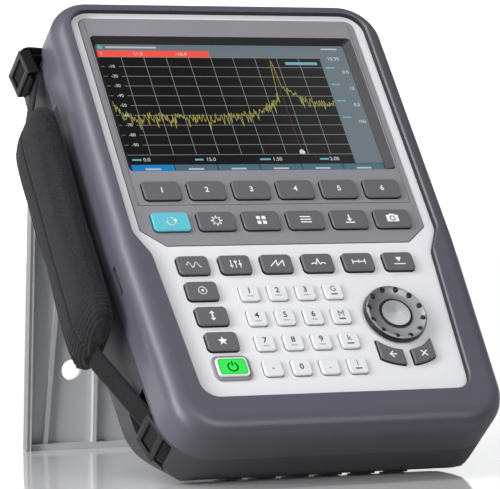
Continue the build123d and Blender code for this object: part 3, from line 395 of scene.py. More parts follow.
def lit(name, paint, share=0.86):
    """Part of the lit screen: its own light, and a little of the studio's, with a painted glare that
    brightens it towards the right.
    """
    glass = {"Roughness": 0.3, "Specular IOR Level": 0.3, "Emission Strength": 1.0}
    material, shade, shader = surface(name, glass)
    place = on_case(shade)
    cells = place.noise(2600.0, 1.0)
    # Painted glare: the emission lifted towards the right
    painted_glare = tuple(min(1.0, c * share + 0.022) for c in paint)
    mottled(cells, paint, 0.10, 0.16).into(shader, "Base Color")
    own = mottled(cells, paint, share * 0.95, share * 1.05)
    place.parts()[0].step(-0.03, 0.09).paint(own, painted_glare).into(shader, "Emission Color")
    return material


def printed(name, paint):
    """Printing ink with slightly uneven cover."""
    material, shade, shader = surface(name, {"Roughness": 0.5})
    mottled(shade.place().noise(900.0), paint, 0.94, 1.04).into(shader, "Base Color")
    return material


def woven(name, paint, pitch, depth, slant=1.0, mapped=True):
    """Woven band or cloth: crossing slanted threads over the piece's own map or up the case, in metres."""
    cloth = {"Specular IOR Level": 0.2, "Sheen Weight": 0.08, "Sheen Roughness": 0.5}
    material, shade, shader = surface(name, cloth)
    along, across = shade.place("UV").parts()[:2] if mapped else on_case(shade).parts()[1:]
    turn = 2 * pi / pitch
    one_way, other_way = (((along + across * way) * turn).math("SINE") for way in (slant, -slant))
    weave = one_way.math("MAXIMUM", other_way) * 0.5 + 0.5
    place = shade.place()
    fuzz = place.noise(800.0, 4.0) * 4.0 - 1.5
    tone = weave * 0.35 + fuzz * 0.5 + place.noise(55.0, 2.0) * 0.15
    mottled(tone, paint, 0.2, 1.9).into(shader, "Base Color")
    (0.92 - weave * 0.2).into(shader, "Roughness")
    (weave * 0.8 + fuzz * 0.2).bump(depth).into(shader, "Normal")
    return material


def ribbed(name, paint, pitch, depth):
    """Ribbed edging: fine ribs across the piece's own map."""
    cloth = {"Specular IOR Level": 0.2, "Sheen Weight": 0.1, "Sheen Roughness": 0.4}
    material, shade, shader = surface(name, cloth)
    ribs = shade.place("UV").parts()[0].wave(pitch)
    fuzz = shade.place().noise(2400.0, 3.0)
    mottled(ribs * 0.7 + fuzz * 0.3, paint, 0.5, 1.5).into(shader, "Base Color")
    (0.9 - ribs * 0.15).into(shader, "Roughness")
    (ribs * 0.85 + fuzz * 0.15).bump(depth).into(shader, "Normal")
    return material


def case_box(name):
    """Lowest and highest corner of a CAD node in the case's frame."""
    back = CASE.inverted()
    points = [back @ v.co for v in nodes[name].data.vertices]
    return Vector(map(min, *points)), Vector(map(max, *points))


def key_top(name):
    """Middle of a key's top in the case's frame."""
    low, high = case_box(name)
    mid = (low + high) / 2
    mid.z = high.z
    return mid


def dress(name, material):
    """Gives a CAD node its material."""
    mesh = nodes[name].data
    mesh.materials.clear()
    mesh.materials.append(material)


def held(name, data):
    """New object in the scene."""
    holder = bpy.data.objects.new(name, data)
    bpy.context.scene.collection.objects.link(holder)
    return holder


def settled(holder):
    """Plain mesh of an object as its modifiers leave it."""
    return bpy.data.meshes.new_from_object(holder.evaluated_get(bpy.context.evaluated_depsgraph_get()))


def put(name, mesh, material, body="housing", smooth=True):
    """Makes a mesh drawn in the case's frame into a piece that rides on a body."""
    mesh.transform(CASE)
    mesh.materials.clear()
    mesh.materials.append(material)
    mesh.polygons.foreach_set("use_smooth", [smooth] * len(mesh.polygons))
    piece = held(name, mesh)
    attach(piece, body)
    return piece


def drawn(name, points, faces):
    """Mesh from points and faces, with its normals outwards."""
    mesh = bpy.data.meshes.new(name)
    mesh.from_pydata([tuple(p) for p in points], [], faces)
    work = bmesh.new()
    work.from_mesh(mesh)
    bmesh.ops.recalc_face_normals(work, faces=work.faces)
    work.to_mesh(mesh)
    work.free()
    return mesh


def skinned(name, points, around, closed=False):
    """Mesh over rows of points, each row a closed loop: joined end to end, or with flat ends."""
    total = len(points)
    faces = []
    for first in range(0, total if closed else total - around, around):
        for k in range(around):
            a, b = first + k, first + (k + 1) % around
            faces.append([a, b, (b + around) % total, (a + around) % total])
    if not closed:
        faces.append(list(reversed(range(around))))
        faces.append(list(range(total - around, total)))
    return drawn(name, points, faces)


def mapped_by(mesh, uvs):
    """Gives a mesh its own map, with one place for each point."""
    layer = mesh.uv_layers.new(name="cloth")
    for loop in mesh.loops:
        layer.data[loop.index].uv = uvs[loop.vertex_index]
    return mesh


def thickened(name, shapes, z, thick):
    """Thin closed slabs from flat outlines at a height out of the face."""
    points, faces = [], []
    for shape in shapes:
        first, count = len(points), len(shape)
        points += [(x, y, z + thick) for x, y in shape] + [(x, y, z - thick) for x, y in shape]
        faces.append([first + i for i in range(count)])
        faces.append([first + count + i for i in reversed(range(count))])
        for i in range(count):
            j = (i + 1) % count
            faces.append([first + i, first + count + i, first + count + j, first + j])
    return drawn(name, points, faces)


def block(left, low, right, high):
    """Rectangle as a flat outline."""
    return [(left, low), (right, low), (right, high), (left, high)]


def stroke(points, wide):
    """Line of a given width as flat outlines, one for each run."""
    shapes = []
    for (x0, y0), (x1, y1) in zip(points, points[1:]):
        run = hypot(x1 - x0, y1 - y0)
        ux, uy = (x1 - x0) / run * wide / 2, (y1 - y0) / run * wide / 2
        (ax, ay), (bx, by) = (x0 - ux, y0 - uy), (x1 + ux, y1 + uy)
        shapes.append([(ax + uy, ay - ux), (bx + uy, by - ux), (bx - uy, by + ux), (ax - uy, ay + ux)])
    return shapes


def arc(x, y, r, start, end, steps=14):
    """Points round part of a circle, angles in degrees."""
    turns = [radians(start + (end - start) * i / steps) for i in range(steps + 1)]
    return [(x + r * cos(t), y + r * sin(t)) for t in turns]


def disc(x, y, r, steps):
    """Round flat outline."""
    return arc(x, y, r, 0, 360, steps)[:-1]


def lettering(text, size, x, y, z, thick, align="CENTER", bold=0.0):
    """Plain numbers or a letter as a thin closed mesh in the case's frame."""
    curve = bpy.data.curves.new("lettering", "FONT")
    curve.body = text
    curve.size = size
    curve.align_x = align
    curve.align_y = "CENTER"
    curve.extrude = thick
    curve.resolution_u = 3
    curve.offset = bold
    holder = held("lettering", curve)
    mesh = settled(holder)
    bpy.data.objects.remove(holder)
    bpy.data.curves.remove(curve)
    mesh.transform(Matrix.Translation((x, y, z)))
    work = bmesh.new()
    work.from_mesh(mesh)
    bmesh.ops.remove_doubles(work, verts=work.verts, dist=0.0005)
    work.to_mesh(mesh)
    work.free()
    return mesh


def joined(name, meshes):
    """One mesh from several."""
    work = bmesh.new()
    for mesh in meshes:
        work.from_mesh(mesh)
        bpy.data.meshes.remove(mesh)
    mesh = bpy.data.meshes.new(name)
    work.to_mesh(mesh)
    work.free()
    return mesh


def rule(name, **sizes):
    """New geometry tree with named inputs: the tree, and its inputs by name."""
    tree = bpy.data.node_groups.new(name, "GeometryNodeTree")
    tree.interface.new_socket("Geometry", in_out="OUTPUT", socket_type="NodeSocketGeometry")
    for key, kind in sizes.items():
        tree.interface.new_socket(key, in_out="INPUT", socket_type="NodeSocket" + kind)
    entry = tree.nodes.new("NodeGroupInput")
    return tree, {o.name: Shade(tree, o) for o in entry.outputs if o.name}


def repeated(points, **inputs):
    """Instances on points."""
    return points.node("GeometryNodeInstanceOnPoints", None, {"Points": points, **inputs})


def end_rule(tree, shape, material):
    """Ends a geometry tree: instances made real, then the material."""
    real = shape.node("GeometryNodeRealizeInstances", None, {0: shape})
    done = real.node("GeometryNodeSetMaterial", None, {"Geometry": real, "Material": material})
    exit_node = tree.nodes.new("NodeGroupOutput")
    tree.links.new(done.socket, exit_node.inputs[0])


def grown(name, tree, values, start=None):
    """Plain mesh that a geometry tree gives for these values."""
    holder = held(name, start or bpy.data.meshes.new(name))
    modifier = holder.modifiers.new("rule", "NODES")
    modifier.node_group = tree
    for item in tree.interface.items_tree:
        if item.in_out == "INPUT" and item.name in values:
            modifier[item.identifier] = values[item.name]
    mesh = settled(holder)
    holder.modifiers.remove(modifier)
    bpy.data.objects.remove(holder)
    mesh.name = name
    return mesh


def softened(node, name, width):
    """Copy of a CAD node's mesh with its hard edges rounded, back in the case's frame."""
    work = bmesh.new()
    work.from_mesh(nodes[node].data)
    bmesh.ops.remove_doubles(work, verts=work.verts, dist=1e-6)
    bmesh.ops.dissolve_limit(work, angle_limit=radians(1.0), verts=work.verts, edges=work.edges)
    work.transform(CASE.inverted())
    mesh = bpy.data.meshes.new(name)
    work.to_mesh(mesh)
    work.free()
    holder = held(name, mesh)
    bevel = holder.modifiers.new("edges", "BEVEL")
    bevel.width = width
    bevel.segments = 3
    bevel.limit_method = "ANGLE"
    bevel.angle_limit = radians(40)
    result = settled(holder)
    bpy.data.objects.remove(holder)
    result.name = name
    return result


class ANALYZER_OT_housing(bpy.types.Operator):
    """Finish the moulded case pieces, the stand and what is inside"""

    bl_idname = "analyzer.housing"
    bl_label = "Housing"

    # Zones of painted shade on the case, in metres: inside the bumper's slot and towards its underside, on
    # the raised rim, which is partly its own grey, and on the slopes round the display window
    slot_y, slot_z, underside = (0.0992, 0.1168), (-0.0123, -0.0087), 0.014
    rim_z = 0.00005
    window_x, window_y, window_z = 0.0807, (0.1728, 0.2694), 0.00026
    # Section of the dark strip of painted shadow at the lip's foot, in millimetres: inwards and outwards of
    # the lip's foot, and its lower edge
    seal_inward, seal_outward, seal_low = 0.12, 0.35, 0.02

    def lip_line(self):
        """Points in order round the foot of the bumper's lip, where it meets the white face."""
        work = bmesh.new()
        work.from_mesh(nodes["front_bumper"].data)
        work.transform(CASE.inverted())
        bmesh.ops.remove_doubles(work, verts=work.verts, dist=0.001)
        work.normal_update()
        near, upright, deepest = 0.02, 0.1, -0.5
        ways = {}
        for edge in work.edges:
            first, second = edge.verts
            on_face = abs(first.co.z) + abs(second.co.z) < near
            if on_face and any(abs(f.normal.z) < upright for f in edge.link_faces):
                if all(f.calc_center_median().z > deepest for f in edge.link_faces):
                    ways.setdefault(first, []).append(second)
                    ways.setdefault(second, []).append(first)
        start = next(iter(ways))
        line, before, here = [start.co.to_2d()], start, ways[start][0]
        while here is not start:
            line.append(here.co.to_2d())
            before, here = here, next(v for v in ways[here] if v is not before)
        work.free()
        return line

    def ring(self, line, low, high):
        """Closed ring of square section along a closed line."""
        area = sum(a.x * b.y - b.x * a.y for a, b in zip(line, line[1:] + line[:1]))
        inward, outward = -self.seal_inward, self.seal_outward
        points = []
        for i, point in enumerate(line):
            run = (line[(i + 1) % len(line)] - line[i - 1]).normalized()
            out = Vector((run.y, -run.x)) * copysign(1, area)
            for reach, z in ((inward, low), (outward, low), (outward, high), (inward, high)):
                points.append((*(point + out * reach), z))
        return skinned("face_shadow_strip", points, 4, closed=True)

    def execute(self, context):
        looks = context.scene.analyzer_housing
        grain, depth = looks.grain, looks.grain_depth

        def slotted(place, tone):
            """Bumper: painted shade towards its underside, and black painted shade inside the slot in its
            left side.
            """
            x, y, z = place.parts()
            slot = y.between(*self.slot_y) * z.between(*self.slot_z) * (0.0 - x).above(0)
            # Painted shade: half the bumper's colour towards its underside, black inside the slot
            tone = y.step(self.underside, 0.0).paint(tone, scaled(looks.bumper, 0.5))
            return slot.paint(tone, scaled(looks.slope, 0.6))

        def rimmed(place, tone):
            """Keypad plate: grey on the raised rim round the power key, partly the rim's own tone and partly
            painted shade of its sides.
            """
            return place.parts()[2].above(self.rim_z).paint(tone, looks.rim)

        def sloped(place, tone):
            """Display plate: black painted shade on the slopes that lead down to the display."""
            x, y, z = place.parts()
            window = (self.window_x - x.math("ABSOLUTE")).above(0) * y.between(*self.window_y)
            return (window * (self.window_z - z).above(0)).paint(tone, looks.slope)

        def edged(place, tone):
            """Stand: painted shade on its two outer edges."""
            edge = place.parts()[0].math("ABSOLUTE").above(looks.stand_edge)
            return edge.paint(tone, scaled(looks.stand, 0.42))

        # Rear shell and battery door: a darker copy of the bumper's tone, painted shade
        shell = moulded("shaded_shell_plastic", looks.shell, 0.5, grain, depth)
        finishes = {
            "front_bumper": moulded(
                "bumper_plastic", looks.bumper, 0.36, grain, depth, (0.94, 1.06), marks=slotted
            ),
            "rear_shell": shell,
            "battery_door": shell,
            "keypad_fascia": moulded(
                "fascia_plastic", looks.fascia, 0.42, grain * 0.7, depth * 0.3, (0.985, 1.015), marks=rimmed
            ),
            "display_panel": moulded(
                "panel_plastic", looks.panel, 0.46, grain * 0.8, depth * 0.6, (0.90, 1.10),
                slow_noise=(30.0, 4.0), fine_share=0.4, sheen=(0.2, 0.0), marks=sloped,
            ),
            "kickstand": moulded(
                "stand_plastic", looks.stand, 0.44, grain, depth * 0.5, (0.95, 1.03), 0.4,
                slow_noise=(24.0, 3.0), sheen=(0.16, 0.0), marks=edged,
            ),
            "battery_pack": moulded("battery_plastic", looks.battery, 0.45, grain, depth),
            "key_mat": rubber("mat_rubber", looks.mat, 0.7),
            "main_board": moulded("board_mask", looks.board, 0.35, grain, depth * 0.2, (0.88, 1.12)),
        }
        for name, material in finishes.items():
            dress(name, material)
        # Dark strip along the foot of the bumper's lip: painted shadow of the lip on the face
        seal = self.ring(self.lip_line(), self.seal_low, looks.seal_rise * MM)
        put("face_shadow_strip", seal, rubber("lip_shadow_matte", looks.seal, 0.6), smooth=False)
        return {"FINISHED"}


class ANALYZER_OT_fittings(bpy.types.Operator):
    """Finish the screws, pins, bars and radio ports, and cut the ports' threads"""

    bl_idname = "analyzer.fittings"
    bl_label = "Fittings"

    # First turn of each port's thread, and the thread's sizes, in millimetres
    ports = ((-45.0, 300.6, -40.0), (45.0, 300.6, -40.0))
    thread = {"Turns": 8, "Pitch": 1.06, "Radius": 7.72, "Ridge": 0.40}

    def execute(self, context):
        steel = metal("bright_steel", tint(205, 205, 208), 0.28)
        nickel = metal("port_nickel", tint(214, 208, 196), 0.22)
        for name in ("rotary_encoder", "strap_bars", "housing_screws", "stand_pins"):
            dress(name, steel)
        dress("rf_ports", nickel)
        tree, given = rule("port_thread", Turns="Int", Pitch="Float", Radius="Float", Ridge="Float")
        start = Shade(tree)
        circle, ridge = (
            start.node("GeometryNodeCurvePrimitiveCircle", None, {"Resolution": sides, "Radius": given[key]})
            for key, sides in (("Radius", 40), ("Ridge", 6))
        )
        ring = start.node("GeometryNodeCurveToMesh", None, {"Curve": circle, "Profile Curve": ridge})
        step = start.node("ShaderNodeCombineXYZ", None, {2: given["Pitch"]})
        run = {"Count": given["Turns"], "Offset": step}
        line = start.node("GeometryNodeMeshLine", {"mode": "OFFSET"}, run)
        end_rule(tree, repeated(line, Instance=ring), nickel)
        turns = []
        for port in self.ports:
            mesh = grown("thread", tree, self.thread)
            mesh.transform(Matrix.Translation(port) @ Matrix.Rotation(-pi / 2, 4, "X"))
            turns.append(mesh)
        put("port_threads", joined("port_threads", turns), nickel)
        return {"FINISHED"}


class ANALYZER_OT_keys(bpy.types.Operator):
    """Finish the keys, with the lit power window"""

    bl_idname = "analyzer.keys"
    bl_label = "Keys"

    # How far under the key's highest point the power window still shows, in metres
    window_deep = 0.0009

    def execute(self, context):
        looks = context.scene.analyzer_keys
        made = {}
        # Each key's sides get a darker copy of its colour: painted shade
        for name in PANEL_KEYS + MODE_KEYS + FUNCTION_KEYS + SIDE_KEYS + ARC_KEYS:
            top = round(case_box(name)[1].z, 1)
            if top not in made:
                made[top] = keycap(f"key_dark_{len(made) + 1}", looks.dark, looks.skirt, top, 0.5)
            dress(name, made[top])
        white = keycap("key_white", looks.white, looks.white_skirt, case_box("one_key")[1].z, 0.4)
        for name in [*DIGIT_KEYS, *UNIT_KEYS]:
            dress(name, white)
        # Accent key: its sides get painted shade, three tenths of its colour
        top = case_box("preset_key")[1].z
        dress("preset_key", keycap("key_accent", looks.accent, scaled(looks.accent, 0.3), top, 0.5))
        dress("power_key", self.window_key("key_power", looks))
        return {"FINISHED"}

    def window_key(self, name, looks):
        """Silver key with a lit window of round corners in its top, darker towards the window's edge."""
        low, high = case_box("power_key")
        mid, half = (low + high) / (2 * MM), (high - low) / (2 * MM)
        corner = looks.power_corner
        material, shade, shader = surface(name, {"Roughness": 0.34, "Emission Strength": 1.0})
        place = on_case(shade)
        *flat, out = place.parts()
        past = []
        for axis, value in enumerate(flat):
            gone = (value - mid[axis]).math("ABSOLUTE")
            past.append((gone - (half[axis] - looks.power_edge - corner)).math("MAXIMUM"))
        reach = (past[0] * past[0] + past[1] * past[1]).math("SQRT")
        inside = (corner - reach).above(0) * out.above(high.z / MM - self.window_deep)
        cells = place.noise(1400.0, 2.0)
        dim = scaled(looks.power, 0.3)
        glow = reach.step(corner * 0.4, corner).paint(mottled(cells, looks.power, 0.66, 0.74), dim)
        inside.paint(mottled(cells, looks.power_rim, 0.94, 1.02), dim).into(shader, "Base Color")
        inside.paint((0, 0, 0), glow).into(shader, "Emission Color")
        return material


class ANALYZER_OT_legends(bpy.types.Operator):
    """Print plain numbers, unit letters and generic signs on the keys"""

    bl_idname = "analyzer.legends"
    bl_label = "Legends"

    # Millimetres: heights of the text, its rise over a second line, that line, and the drop on curved keys
    panel_text, number_text, rise, arc_drop = 4.8, 4.9, 1.3, 2.4
    second_half, second_low, second_high = 1.9, 2.6, 1.7
    letter_m, letter_m_wide = [(-1.45, -1.7), (-1.45, 1.7), (0.0, -0.4), (1.45, 1.7), (1.45, -1.7)], 0.45

    def signs(self):
        """Flat outlines for each key's sign, about the key's middle, in millimetres."""
        thin = 0.65
        wave = [(x / 4 - 4, 1.6 * sin(x / 4 * pi / 2.2)) for x in range(33)]
        gear = stroke(arc(0, 0, 1.9, 0, 360, 20), 0.75)
        for turn in (i * pi / 4 for i in range(8)):
            gear += stroke([(r * cos(turn), r * sin(turn)) for r in (2.1, 2.9)], 0.8)
        body = [(0, 2.2), (-3.6, 2.2), (-3.6, -2.3), (0, -2.3)] + arc(0, 0, 1.8, 270, 90, 12)
        camera = [body, [(-x, y) for x, y in reversed(body)]]
        camera += [block(-1.5, 2.2, 1.5, 3.0), disc(0, 0, 1.15, 14)]
        sliders = []
        for x, knob in ((-2.6, -1.2), (0.0, 1.4), (2.6, -0.2)):
            sliders.append(block(x - 0.25, -2.6, x + 0.25, 2.6))
            sliders.append(block(x - 0.9, knob - 0.5, x + 0.9, knob + 0.5))
        saw = [(-4, -1.8), (-0.2, 1.8), (-0.2, -1.8), (3.6, 1.8), (3.6, -1.8)]
        peaks = [(-4, -1), (-2.6, -0.4), (-1.4, -1.2), (-0.2, 2.2), (1.0, -1.4), (2.4, -0.2), (4, -0.9)]
        ruler = [block(-4.0, -0.35, 4.0, 0.35), block(-4.0, -1.6, -3.4, 1.6), block(3.4, -1.6, 4.0, 1.6)]
        arrows = [[(-1.6, 1.5), (1.6, 1.5), (0, 3.2)], [(1.6, -1.5), (-1.6, -1.5), (0, -3.2)]]
        down = [(-1.7, 0.0), (0, -1.7), (1.7, 0.0)]
        star = [(r * sin(i * pi / 5), r * cos(i * pi / 5)) for i, r in enumerate((2.9, 1.2) * 5)]
        return {
            "preset_key": [*stroke(arc(0, 0, 2.5, 60, 360, 20), 0.75), [(3.6, 0.2), (1.4, 0.2), (2.5, 1.9)]],
            "setup_key": gear,
            "mode_key": [block(x, y, x + 2.2, y + 2.2) for x in (-2.7, 0.5) for y in (-2.7, 0.5)],
            "lines_key": [block(-3.2, y - 0.35, 3.2, y + 0.35) for y in (-1.8, 0.0, 1.8)],
            "save_key": [block(-2.8, -2.8, 2.8, -2.1), block(-0.4, -0.6, 0.4, 2.8), down],
            "camera_key": camera,
            "frequency_key": stroke(wave, thin),
            "config_key": sliders,
            "sweep_key": stroke(saw, thin),
            "trace_key": stroke(peaks, thin),
            "measure_key": ruler + [block(-0.3, -1.1, 0.3, 1.1)],
            "marker_key": [[(-1.8, 2.4), (0, -0.6), (1.8, 2.4)], block(-3.4, -2.4, 3.4, -1.8)],
            "cal_key": stroke(arc(0, 0, 2.3, 0, 360, 22), 0.6) + [disc(0, 0, 0.8, 12)],
            "scale_key": [block(-0.4, -2.0, 0.4, 2.0), *arrows],
            "wizard_key": [star],
            "back_key": [*stroke([(0.4, 1.7), (-1.6, 0), (0.4, -1.7)], thin), block(-1.4, -0.32, 2.4, 0.32)],
            "cancel_key": stroke([(-1.5, -1.5), (1.5, 1.5)], 0.7) + stroke([(-1.5, 1.5), (1.5, -1.5)], 0.7),
        }

    def execute(self, context):
        looks = context.scene.analyzer_keys
        thick = looks.print_t * MM
        light = printed("print_light", looks.print_light)
        ink = printed("print_dark", looks.print_dark)
        blue = printed("print_blue", looks.print_blue)

        def print_on(key, mesh, material, line="_print"):
            """Puts a print on its key."""
            put(key + line, mesh, material, key, smooth=False)

        for order, name in enumerate(PANEL_KEYS, 1):
            mesh = lettering(str(order), self.panel_text, *key_top(name), thick, bold=0.08)
            print_on(name, mesh, light)
        for name, shapes in self.signs().items():
            mid = key_top(name)
            if name in ARC_KEYS:
                mid.y -= self.arc_drop
            placed = [[(mid.x + x, mid.y + y) for x, y in shape] for shape in shapes]
            print_on(name, thickened(name, placed, mid.z, thick), light)
        for name, text in {**DIGIT_KEYS, **UNIT_KEYS}.items():
            mid = key_top(name)
            unit = name in UNIT_KEYS
            second_line = unit or text in "123456789"
            y = mid.y + (self.rise if second_line else 0.0)
            if text == "M":
                line = stroke([(mid.x + dx, y + dy) for dx, dy in self.letter_m], self.letter_m_wide)
                mesh = thickened(name, line, mid.z, thick)
            else:
                mesh = lettering(text, self.number_text, mid.x, y, mid.z, thick, bold=0.02 if unit else 0.12)
            print_on(name, mesh, ink)
            if second_line:
                half = self.second_half
                bar = block(mid.x - half, mid.y - self.second_low, mid.x + half, mid.y - self.second_high)
                print_on(name, thickened(name, [bar], mid.z, thick), ink if unit else blue, "_second_print")
        mid = key_top("power_key")
        mark = stroke(arc(mid.x, mid.y - 0.2, 2.7, 125, 415, 22), 0.85)
        mark.append(block(mid.x - 0.45, mid.y + 0.4, mid.x + 0.45, mid.y + 3.4))
        sign = lit("power_mark", looks.power_mark, 0.5)
        print_on("power_key", thickened("power_mark", mark, mid.z, thick), sign)
        return {"FINISHED"}


class ANALYZER_OT_knob(bpy.types.Operator):
    """Finish the tuning knob and set its ring of pegs"""

    bl_idname = "analyzer.knob"
    bl_label = "Knob"

    # Metres: pitch of the turned rings, and radius of the face
    ring_pitch, face_r = 0.00045, 0.01735
    # Millimetres: height of the pegs, and radius and height of the gasket's corners
    peg_z = 3.4
    gasket, gasket_steps = ((8.42, 2.7), (9.7, 2.7), (9.7, 3.5), (8.42, 3.8)), 48

    def turned(self, name, paint, rim, roughness):
        """Turned finish about the knob's axis: fine rings, painted highlight towards the lower right and
        painted shade opposite, dark below the face's edge.
        """
        material, shade, shader = surface(name, {"Specular IOR Level": 0.5, "Metallic": 0.35})
        place = on_case(shade)
        x, y = (value - middle / MM for value, middle in zip(place.parts(), KNOB))
        radius = (x * x + y * y).math("SQRT")
        rings, speck = radius.wave(self.ring_pitch), place.noise(5000.0, 2.0)
        # Painted highlight and shade: brighter towards the lower right, darker opposite
        sheen = (x * 0.75 - y * 0.66) / (radius + 0.0004) * 0.5 + 0.5
        face = mottled(sheen * 0.7 + rings * 0.1 + speck * 0.2, paint, 0.42, 1.5)
        radius.above(self.face_r).paint(face, rim).into(shader, "Base Color")
        (roughness + (speck - 0.5) * 0.15).into(shader, "Roughness")
        (rings * 0.6 + speck * 0.4).bump(0.000012).into(shader, "Normal")
        return material

    def execute(self, context):
        looks = context.scene.analyzer_knob
        dress("tuning_knob", self.turned("knob_face", looks.face, looks.rim, 0.36))
        dress("knob_button", self.turned("knob_button", looks.button, looks.rim, 0.26))
        soft = rubber("knob_peg", looks.peg, 0.5)
        tree, given = rule("peg_ring", Count="Int", Circle="Float", Radius="Float")
        start = Shade(tree)
        ring_size = {"Vertices": given["Count"], "Radius": given["Circle"]}
        ring = start.node("GeometryNodeMeshCircle", None, ring_size)
        dome_size = {"Segments": 14, "Rings": 10, "Radius": given["Radius"]}
        dome = start.node("GeometryNodeMeshUVSphere", None, dome_size)
        end_rule(tree, repeated(ring, Instance=dome), soft)
        values = {"Count": looks.peg_count, "Circle": looks.peg_circle * MM, "Radius": looks.peg_r * MM}
        mesh = grown("knob_pegs", tree, values)
        mesh.transform(Matrix.Translation((*KNOB, self.peg_z)) @ Matrix.Rotation(radians(15), 4, "Z"))
        put("knob_pegs", mesh, soft, "knob")
        points = []
        for i in range(self.gasket_steps):
            t = 2 * pi * i / self.gasket_steps
            points += [(KNOB[0] + r * cos(t), KNOB[1] + r * sin(t), z) for r, z in self.gasket]
        put("knob_ring", skinned("knob_ring", points, len(self.gasket), closed=True), soft, "knob")
        return {"FINISHED"}


class ANALYZER_OT_screen(bpy.types.Operator):
    """Draw the screen picture: graph, measured line, header, side column and soft key labels"""

    bl_idname = "analyzer.screen"
    bl_label = "Screen"

    # Edges of the picture, its graph, its label row and the marker bar, in millimetres on the case
    left, right, low, high = -76.3, 76.3, 175.1, 266.8
    grid_right, grid_low, grid_high = 59.1, 188.0, 257.6
    info_low, label_high, label_step, label_gap = 181.5, 181.2, 25.43, 0.25
    marker_right, marker_high, peak_x = -8.8, 262.3, 27.6
    # Layers of the picture: pitch and half thickness of a plate, then depth of a grid line, its two heights,
    # and height and half thickness of the numbers
    layer_t, plate_t = 0.02, 0.008
    line_t, upright_z, level_z, number_z, number_t = 0.016, 0.055, 0.06, 0.12, 0.01
    # Numbers with their places: row under the graph and header, then the side column by height
    grid_text, text, side_text, side_x = 3.0, 3.4, 3.2, 74.6
    numbers = (
        ("0.0", -66, 184.6), ("15.0", -28, 184.6), ("1.50", 12, 184.6), ("2.00", 47, 184.6),
        ("1", -74, 259.9), ("11.5", -52, 259.9), ("-10.4", -26, 259.9), ("10:30", 67.6, 257.2),
    )
    side_numbers = (("0.0", 247.4), ("10", 235.4), ("0.5", 223.4), ("100", 211.2))

    def measured(self, looks):
        """Points of the measured line: slow fall and rise, hump, spike, and noise with single dips."""
        chance = random.Random(looks.seed)
        points = []
        for i in range(looks.samples):
            share = i / (looks.samples - 1)
            x = self.left + 0.5 + share * (self.grid_right - self.left - 0.8)
            level = 216.0 - 4.2 * sin(min(share / 0.75, 1) * pi * 0.8) + 9.5 * share**2.2
            start = 9.0 * exp(-share * 70)
            hump = 14.5 / (1 + ((x - 31.0) / 9.5) ** 2)
            spike = 26.0 * exp(-((x - self.peak_x) / 1.5) ** 2)
            dip = 10.0 * max(0.0, chance.random() - 0.86) / 0.14 * (1 - share) ** 0.3
            spread = 3.7 * (1.1 - 0.5 * share)
            y = level + start + hump + spike + chance.uniform(-spread, spread) - dip
            points.append((x, min(max(y, self.grid_low + 1), self.grid_high - 2)))
        return points

    def graph_lines(self, looks, material, face):
        """Upright and level lines of the graph as one mesh."""
        tree, given = rule("graph_lines", Lines="Int", Step="Vector", Wide="Float", High="Float")
        start = Shade(tree)
        run = {"Count": given["Lines"], "Offset": given["Step"]}
        places = start.node("GeometryNodeMeshLine", {"mode": "OFFSET"}, run)
        size = start.node("ShaderNodeCombineXYZ", None, {0: given["Wide"], 1: given["High"], 2: self.line_t})
        strip = start.node("GeometryNodeMeshCube", None, {"Size": size})
        end_rule(tree, repeated(places, Instance=strip), material)
        wide, tall, thin = self.grid_right - self.left, self.grid_high - self.grid_low, looks.line_w * MM
        column, row = wide / looks.columns, tall / looks.rows
        upright = {"Lines": looks.columns - 1, "Step": (column, 0, 0), "Wide": thin, "High": tall}
        level = {"Lines": looks.rows + 1, "Step": (0, row, 0), "Wide": wide, "High": thin}
        first, second = grown("uprights", tree, upright), grown("levels", tree, level)
        middle = (self.left + self.grid_right) / 2, (self.grid_low + self.grid_high) / 2
        first.transform(Matrix.Translation((self.left + column, middle[1], face + self.upright_z)))
        second.transform(Matrix.Translation((middle[0], self.grid_low, face + self.level_z)))
        return joined("screen_grid", [first, second])

    def execute(self, context):
        looks = context.scene.analyzer_screen
        face = case_box("lcd_module")[1].z
        left, right, grid_right = self.left, self.right, self.grid_right
        grid_low, grid_high, peak_x = self.grid_low, self.grid_high, self.peak_x
        dress("lcd_module", moulded("display_bezel", tint(24, 24, 26), 0.3, 0.0005, 0.00001))

        def plate(name, shapes, layer, paint, share=0.86):
            """Lit flat shapes on one layer of the picture."""
            mesh = thickened(name, shapes, face + self.layer_t * layer, self.plate_t)
            put(name, mesh, lit(name, paint, share), smooth=False)

        plate("screen_ground", [block(left, grid_low, grid_right, grid_high)], 1, looks.ground)
        plate("screen_info", [block(left, self.info_low, grid_right, grid_low)], 1, looks.info)
        column = block(grid_right, self.info_low, right, grid_high)
        plate("screen_header", [block(left, grid_high, right, self.high), column], 1, looks.header)
        edges = [left + self.label_step * i for i in range(7)]
        gap = self.label_gap
        labels = [block(a + gap, self.low, b - gap, self.label_high) for a, b in zip(edges, edges[1:])]
        plate("screen_labels", labels[1:], 2, looks.label)
        plate("screen_chosen", labels[:1], 2, looks.chosen)
        marker = block(left, grid_high + 0.1, self.marker_right, self.marker_high)
        plate("screen_marker", [marker], 2, looks.marker)

        line = lit("screen_grid", looks.grid)
        put("screen_grid", self.graph_lines(looks, line, face), line, smooth=False)
        plate("screen_trace", stroke(self.measured(looks), looks.trace_w * MM), 4, looks.trace, 0.9)
        cursor = stroke([(peak_x, grid_high - 1), (28.4, grid_low + 3)], 0.2)
        plate("screen_cursor", cursor + [[(26.0, 251.6), (29.2, 251.6), (peak_x, 249.4)]], 5, looks.cursor)
        tip = [(27.0, 0.3), (30.2, 0.3), (30.2, 2.2), (28.6, 3.8), (27.0, 2.2)]
        plate("screen_tip", [[(x, grid_low + y) for x, y in tip]], 5, looks.words)

